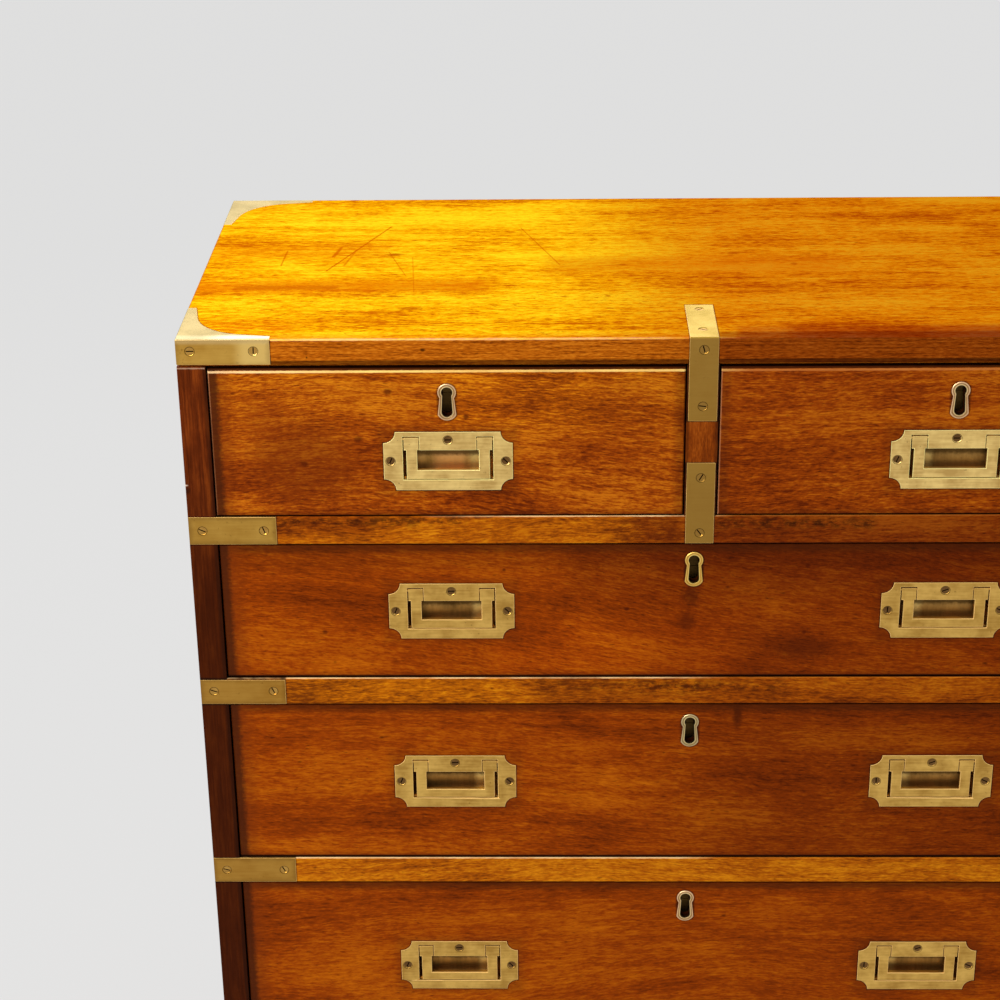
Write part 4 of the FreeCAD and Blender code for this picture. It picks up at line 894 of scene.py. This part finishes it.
# Each drawer front's palette, seed, marks and grain.
FRONT_LOOKS = {
    "top_left": (FRONT_PALETTE, 10.0, [
        stain_spot("XZ", (-0.352, 0.756), 0.06, (104, 40, 4), 0.55, 1.3, 0.02),
        # Painted shade: the front darker towards the bottom.
        tint_box("XZ", (-0.5, 0.6), (0.0, 0.768), 0.06, 0.89, 0.78, 0.9),
        tint_box("XZ", (-0.21, 0.802), (-0.11, 0.85), 0.03, 1.2, 1.34, 1.0),
        stain_spot("XZ", (-0.385, 0.8), 0.03, (120, 44, 5), 0.35, 1.0, 0.02),
        *knots((-0.2744, 0.8246, 0.0042), (-0.302, 0.7794, 0.0046), (-0.3501, 0.756, 0.0044),
               (-0.2065, 0.8005, 0.0034)),
    ], {"slant": 0.03, "broad": 0.7, "cloud": 0.9, "fine": 1.12}),
    # Painted shade: the right-hand top drawer darker all over, where the light falls off.
    "top_right": (FRONT_PALETTE, 12.3, [tint_box("XZ", (-1, -1), (1, 1), 0.01, 0.82, 0.68, 0.8)],
                  {"broad": 0.5, "cloud": 0.6}),
    "second": (SECOND_PALETTE, 14.6, [
        # Painted shade: darker under the rail, at the upper right and to the right.
        tint_box("XZ", (-0.1, 0.642), (0.5, 0.68), 0.035, 0.72, 0.66, 0.9, 0.02),
        tint_box("XZ", (0.0, 0.5), (0.5, 0.68), 0.1, 0.78, 0.72, 0.9),
        tint_box("XZ", (-0.47, 0.66), (0.5, 0.69), 0.016, 0.8, 0.8, 1.0, 0.008),
        tint_box("XZ", (-0.17, 0.56), (0.02, 0.585), 0.03, 1.16, 1.14, 1.0, 0.01),
        stain_spot("XZ", (-0.006, 0.625), 0.016, (66, 22, 3), 0.6, 0.7, 0.014),
        stain_spot("XZ", (-0.009, 0.599), 0.014, (76, 24, 3), 0.6, 0.8, 0.012),
        stain_spot("XZ", (0.095, 0.571), 0.018, (78, 26, 3), 0.6, 2.2, 0.014),
        *knots((-0.3394, 0.5884, 0.003), (-0.0637, 0.6114, 0.0028), (0.0983, 0.6544, 0.0028),
               (0.0977, 0.5875, 0.0026), (0.0272, 0.6335, 0.0022), (-0.1749, 0.6511, 0.0022)),
    ], {"slant": 0.1, "fine": 0.7, "cloud": 0.7, "broad": 0.65}),
    "third": (SECOND_PALETTE, 16.9, [
        stain_spot("XZ", (0.04, 0.5), 0.018, (70, 24, 3), 0.7, 0.35, 0.01),
        # Painted shade: darker to the right.
        tint_box("XZ", (0.06, 0.3), (0.5, 0.6), 0.14, 0.74, 0.7, 0.9),
    ], {"slant": 0.05, "fine": 0.7, "cloud": 0.65, "broad": 0.6}),
    "bottom": (SECOND_PALETTE, 19.2, [], {"slant": -0.04, "fine": 0.7, "cloud": 0.7, "broad": 0.7}),
}


def dress_wood():
    give(top_wood(), "top_board")
    base_cracks = (only(on_front, strap_outlines("XZ", HALF_WIDTH)[-1:])
                   + only(on_sides, strap_outlines("YZ", -FRONT)[-1:]))
    give(wood("base_wood", "X", BASE_PALETTE, 2.0, stains=base_cracks), "bottom_board")
    give(side_wood("left_side_wood", 3.0), "left_side")
    give(side_wood("right_side_wood", 4.0), "right_side")
    give(rail_wood(), "drawer_rails")
    marks = [crack("XZ", (0, z), (0.03, half), 0.0012, 0.9) for z, half in (UPPER_STRAP, LOWER_STRAP)]
    # Painted shade on the divider beside the straps, at the drawers' gaps.
    marks.append(stain_box("XZ", (STRAP_HALF, 0), (0.03, 1), 0.003, DIRT_AND_SHADE, 0.5, mirrored=True))
    give(wood("divider_wood", "Z", DIVIDER_PALETTE, 6.0, fine=0.7, stains=marks), "drawer_divider")
    give(wood("feet_wood", "Z", BASE_PALETTE, 7.0), "feet")
    raw = {"pores": 0.5, "roughness": 0.6, "gloss": 0.2}
    give(wood("lining_wood", "X", LINING_PALETTE, 8.0, **raw), "dust_boards", "drawer_stops")
    give(wood("runner_wood", "Y", LINING_PALETTE, 9.0, **raw), "drawer_runners",
         *(f"{drawer}_box" for drawer in FRONT_LOOKS))
    back = wood("back_wood", "X", BACK_PALETTE, 9.5, pores=0.6, cloud=0.6, roughness=0.65, gloss=0.2)
    give(back, "back_boards")
    for drawer, look in FRONT_LOOKS.items():
        give(front_wood(drawer, *look), f"{drawer}_front")


# ---- the brass of each piece ----

# A stain over the divider straps' fronts, used to paint them darker as shade.
strap_front_shade = partial(stain_box, "XZ", (-0.02, 0.6), (0.02, 0.8715), 0.004)
STRAP_TOP = stain_box("XY", (-0.02, -1), (0.02, 1), 0.01, (174, 148, 24), 0.8)
# Each keyhole ring's outer bead, hollow and rim: painted highlights and shade, paler on the upper rings.
RING_LIGHT_TONES = {"top_left": ((250, 206, 156), (128, 88, 44), (255, 226, 160)),
              "second": ((250, 204, 104), (168, 120, 44), (255, 224, 132)),
              "third": ((214, 190, 140), (120, 96, 54), (240, 214, 150))}


def slot_shade_and_dirt(level):
    """Painted shade and dirt in the screws' slots, which lie deeper than level below the chest's faces."""
    def make(s):
        sides = s.most(s.minus(s.size(s.y), -FRONT), s.minus(s.size(s.x), HALF_WIDTH))
        return s.fade(s.most(sides, s.minus(s.z, TOP)), -level - 0.0002, -level + 0.0001), DIRT_AND_SHADE
    return make


def tarnish(height, half_height, leg, strength):
    """The front leg of a strap or bracket, browner towards its edges."""
    def make(s):
        inward = from_box(s, "XZ", (HALF_WIDTH - leg / 2, height), (leg / 2, half_height), True)
        inward = rough_edge(s, inward, 0.003, 120.0)
        return s.times(s.fade(inward, 0.0, -0.006, strength), s.fade(inward, 0.001, 0.002)), (112, 76, 30)
    return make


def binding_brass():
    """Brackets and straps: olive gold, darker lower down; painted shade on the divider, painted highlight on
    the arris.
    """
    olive = (150, 112, 48)
    both = partial(stain_box, mirrored=True)
    stains = only(on_top, [both("XY", (0.3, -1), (1, 1), 0.01, (139, 137, 88), 0.66), STRAP_TOP])
    # Painted highlights on the brackets' tops along the front arris.
    stains += only(front_rim, [
        both("XY", (0.3, -1), (1, 0), 0.01, (250, 240, 200), 0.3),
        both("XY", (0.3, -1), (0.405, 0), 0.03, (255, 248, 214), 0.62),
    ])
    stains += only(on_front, [
        # The divider straps' fronts painted darker olive as shade; the brass darker and browner lower down.
        strap_front_shade(olive, 0.78),
        stain_box("XZ", (-0.6, 0.0), (0.6, 0.72), 0.05, olive, 0.26),
        stain_box("XZ", (-0.6, 0.0), (0.6, 0.56), 0.05, (150, 92, 24), 0.3),
        # Painted highlights: a pale patch on each bracket's front and a pale band under its upper arris.
        both("XZ", (0.378, 0.8535), (0.396, 0.9), 0.014, (250, 214, 128), 0.6),
        both("XZ", (0.3, TOP - 0.0016), (1, 1), 0.0045, (244, 214, 150), 0.5),
        *(tarnish((low + high) / 2, (high - low) / 2, STRAP_LEG, 0.4) for low, high in RAILS),
        tarnish(TOP - 0.0125, 0.0125, BRACKET_LEG, 0.3),
    ])
    return brass("binding_brass", (208, 162, 74), (170, 124, 46), 0.36, 1.0, depth=0.75, stains=stains,
                 edges=True)


def pan_brass(name, height, facing="XZ", place=PLATE_X, scale=1.0, lit_glow=False):
    """A pan's hollow: olive brown, painted pale at its inner end and dark at its edges; lit pans get a
    painted warm glow.
    """
    def box(low, high, soft, colour, strength):
        corners = ((place + x * scale, height + z * scale) for x, z in (low, high))
        return stain_box(facing, *corners, soft, colour, strength, 0.004, True)
    # A painted highlight at the inner end, painted shade at the upper and lower edges.
    stains = [box((-0.031, -0.011), (-0.023, 0.001), 0.007, (222, 188, 112), 0.75),
              box((-0.05, 0.0035), (0.05, 0.03), 0.004, (60, 40, 16), 0.8),
              box((-0.05, -0.03), (0.05, -0.0145), 0.003, (90, 68, 28), 0.6)]
    # A paler base and a painted reflection of warm wood in a lit pan's middle.
    if lit_glow:
        stains.insert(0, box((-0.009, -0.01), (0.007, 0.0), 0.011, (230, 168, 98), 0.62))
    base, patina = ((192, 146, 80), (140, 104, 50)) if lit_glow else ((168, 126, 66), (112, 82, 40))
    return brass(name, base, patina, 0.36, 6.0, (240, 60, 40), 0.9, stains)


def ring_brass(drawer):
    """A keyhole ring: painted highlights on its rubbed outer bead and thin rim, painted shade in its hollow.
    """
    outer, hollow, rim = RING_LIGHT_TONES.get(drawer, RING_LIGHT_TONES["top_left"])
    places = (0.0, 0.08, 0.26, 0.46, 0.62, 0.76, 0.86, 0.95)
    colours = (darker(hollow, 0.4), outer, darker(outer, 0.8), hollow, darker(hollow, 1.6), rim,
               darker(rim, 0.5), darker(hollow, 0.2))
    return brass(f"{drawer}_ring_brass", outer, hollow, 0.3, 5.0, (220, 220, 220), cloud=160.0,
                 stains=[lambda s: (0.8, s.ramp(s.attribute("reach"), places, colours))])


def screw_brass(name, base, patina, roughness, level, stains=()):
    return brass(name, base, patina, roughness, 3.0, cloud=150.0, stains=[*stains, slot_shade_and_dirt(level)])


def level_at(axis, place, reach=0.00002, mirrored=False):
    """A test for edges with both ends at one place on an axis."""
    def test(*ends):
        return all(abs((abs(end[axis]) if mirrored else end[axis]) - place) < reach for end in ends)
    return test


def all_edges(*ends):
    return True


def on_arris(a, b):
    return min(a.z, b.z) > TOP - 0.0001 and max(a.y, b.y) < FRONT + 0.0001


def on_ledge(a, b):
    """The upper front arris of the second rail's straps."""
    return max(a.y, b.y) < FRONT + 0.0001 and level_at(2, RAILS[1][1], 0.0005)(a, b)


def dress_handles(drawer, handle):
    """A drawer's handle plates, bails and pans, with rubbed sills, grips and lugs painted bright as
    highlights.
    """
    plates, face, middle = plates_of(drawer)
    on_face = level_at(1, face)
    at_sill = level_at(2, middle + PAN_BOTTOM, 0.0015)
    at_grip = level_at(2, middle - 0.0086, 0.0005)

    def on_sill(a, b):
        return on_face(a, b) and at_sill(a, b) and abs(a.x - b.x) > 0.01

    def on_grip(a, b):
        return on_face(a, b) and at_grip(a, b)

    def on_lug(a, b):
        return on_face(a, b) and min(a.z, b.z) > middle + 0.0102

    rubbed(plates, handle, [(on_sill, 0.001, 2, 1.0), (on_face, 0.00045, 2, 1.0)])
    for _, hand in hands_of(drawer):
        rubbed(f"{drawer}_bail" if drawer.endswith(hand) else f"{drawer}_{hand}_bail", handle,
               [(on_grip, 0.0012, 3, 1.0), (on_lug, 0.0005, 2, 0.3), (on_face, 0.0006, 3, 0.8)])
    pan = pan_brass(f"{drawer}_pan_brass", middle, lit_glow=drawer == "top_left")
    for side, hand in hands_of(drawer):
        centre = (side * PLATE_X, face, middle)
        pan_scoop(f"{drawer}_{hand}_pan", f"{drawer}_drawer", centre, "front", 1.0, pan)


def dress_brass():
    # The divider strap's screws painted darker on the front like the strap, as shade.
    strap_screws = only(on_front, [strap_front_shade((146, 108, 48), 0.8)]) + only(on_top, [STRAP_TOP])
    give(screw_brass("binding_screw_brass", (196, 152, 76), (150, 106, 46), 0.38, 0.0009, strap_screws),
         "binding_screws")
    binding = binding_brass()
    rubbed("corner_brackets", binding,
           [(on_arris, 0.0013, 3, 1.0), (all_edges, 0.00045, 2, 1.0)])
    rubbed("binding_straps", binding,
           [(on_arris, 0.001, 3, 1.0), (on_ledge, 0.0008, 2, 1.0), (all_edges, 0.0004, 2, 1.0)])

    cast = {"roughness": 0.34, "seed": 2.0, "depth": 0.75, "cloud": 48.0, "edges": True}
    # Painted light and shade: the upper drawers' handle brass paler than the lower ones'.
    upper = brass("upper_handle_brass", (250, 214, 132), (180, 139, 72), **cast)
    lower = brass("handle_brass", (222, 178, 92), (160, 116, 46), **cast)
    # The locks' brass painted dark, as shade inside the keyholes.
    shaded_lock = brass("lock_brass", (110, 84, 42), (70, 50, 22), 0.5, 4.0)
    for drawer in FRONT_LOOKS:
        dress_handles(drawer, upper if drawer.startswith("top") else lower)
        escutcheon(drawer, ring_brass(drawer))
        level = plates_of(drawer)[1] - FRONT + 0.0009
        screws = screw_brass(f"{drawer}_screw_brass", (124, 90, 50), (78, 52, 28), 0.42, level)
        give(screws, f"{drawer}_screws")
        give(shaded_lock, f"{drawer}_lock_case", f"{drawer}_lock_bolt")

    low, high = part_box("carry_handle_plates")
    face, middle = high.x, (low.z + high.z) / 2
    on_side = level_at(0, face, mirrored=True)
    rubbed("carry_handle_plates", lower, [(on_side, 0.0006, 2, 1.0)])
    pan = pan_brass("carry_pan_brass", middle, "YZ", 0.0, CARRY_SCALE)
    for side, hand in HANDS:
        rubbed(f"carry_bail_{hand}", lower, [(on_side, 0.0008, 3, 1.0)])
        pan_scoop(f"carry_{hand}_pan", "carcase", (side * face, 0.0, middle), hand, CARRY_SCALE, pan)


# ---- stage, light and camera ----

BACKGROUND = linear((227, 227, 227))
WARM_LIGHT = (1.0, 0.95, 0.88)
FOCAL_PIXELS = 2274
CAMERA_PLACE = (-0.13466, -2.04446, 1.55542)
CAMERA_YAW, CAMERA_PITCH, CAMERA_ROLL = -1.34, 24.39, 0.73


def camera_share(nodes, share):
    """A share of the rays that see the background itself, none of those that light the chest."""
    rays = nodes.node("LightPath").outputs
    seen = nodes.most(rays["Is Camera Ray"], rays["Is Glossy Ray"])
    return nodes.times(nodes.most(seen, rays["Is Transmission Ray"]), share)


def build_stage():
    sheet = bmesh.new()
    bmesh.ops.create_grid(sheet, x_segments=1, y_segments=1, size=40.0)
    mesh = bpy.data.meshes.new("floor")
    sheet.to_mesh(mesh)
    sheet.free()
    s = Shader("floor_paper")
    paper = s.node("BsdfDiffuse", {"Color": (0.72, 0.72, 0.72, 1.0)})
    pale = s.node("Emission", {"Color": BACKGROUND})
    mixed = s.node("MixShader", {0: camera_share(s, 0.9), 1: paper.outputs[0], 2: pale.outputs[0]})
    s.node("OutputMaterial", {0: mixed.outputs[0]})
    mesh.materials.append(s.material)
    floor = link("floor", mesh)


def build_world():
    world = bpy.data.worlds.new("studio")
    bpy.context.scene.world = world
    world.use_nodes = True
    nodes = Nodes(world.node_tree)
    lit = nodes.node("Background", {0: (1.0, 0.97, 0.93, 1.0), 1: 0.36})
    seen = nodes.node("Background", {0: BACKGROUND})
    mixed = nodes.node("MixShader", {0: camera_share(nodes, 1.0), 1: lit.outputs[0], 2: seen.outputs[0]})
    nodes.node("OutputWorld", {0: mixed.outputs[0]})


def add_lamp(name, kind, energy, place, target, **settings):
    lamp = bpy.data.lights.new(name, kind)
    lamp.energy = energy
    lamp.color = WARM_LIGHT
    for key, value in settings.items():
        setattr(lamp, key, value)
    holder = link(name, lamp)
    holder.location = place
    holder.rotation_euler = (Vector(place) - Vector(target)).to_track_quat("Z", "Y").to_euler()
    holder.visible_camera = False


def build_lights():
    add_lamp("sky", "SUN", 0.95, (-1.0, -1.4, 3.0), (0, 0, 0.5), angle=math.radians(30))
    add_lamp("window", "AREA", 30.0, (-1.4, -1.1, 1.7), (-0.2, -0.1, 0.7),
             shape="RECTANGLE", size=0.9, size_y=0.9)
    add_lamp("back_light", "AREA", 17.0, (-0.5, 1.8, 1.9), (-0.2, 0.0, 0.87),
             shape="RECTANGLE", size=2.2, size_y=1.0)


def build_camera():
    lens = bpy.data.cameras.new("camera")
    lens.sensor_width = 36.0
    lens.lens = FOCAL_PIXELS / 1000 * 36.0
    camera = link("camera", lens)
    yaw, pitch, roll = (math.radians(value) for value in (CAMERA_YAW, CAMERA_PITCH, CAMERA_ROLL))
    forward = Vector((math.sin(yaw) * math.cos(pitch), math.cos(yaw) * math.cos(pitch), -math.sin(pitch)))
    right = Vector((math.cos(yaw), -math.sin(yaw), 0.0))
    down = forward.cross(right)
    right, down = (right * math.cos(roll) + down * math.sin(roll),
                   down * math.cos(roll) - right * math.sin(roll))
    camera.matrix_world = Matrix((right, -down, -forward)).transposed().to_4x4()
    camera.location = CAMERA_PLACE
    bpy.context.scene.camera = camera


dress_wood()
dress_brass()
build_stage()
build_world()
build_lights()
build_camera()
bpy.context.scene.view_settings.view_transform = "Standard"
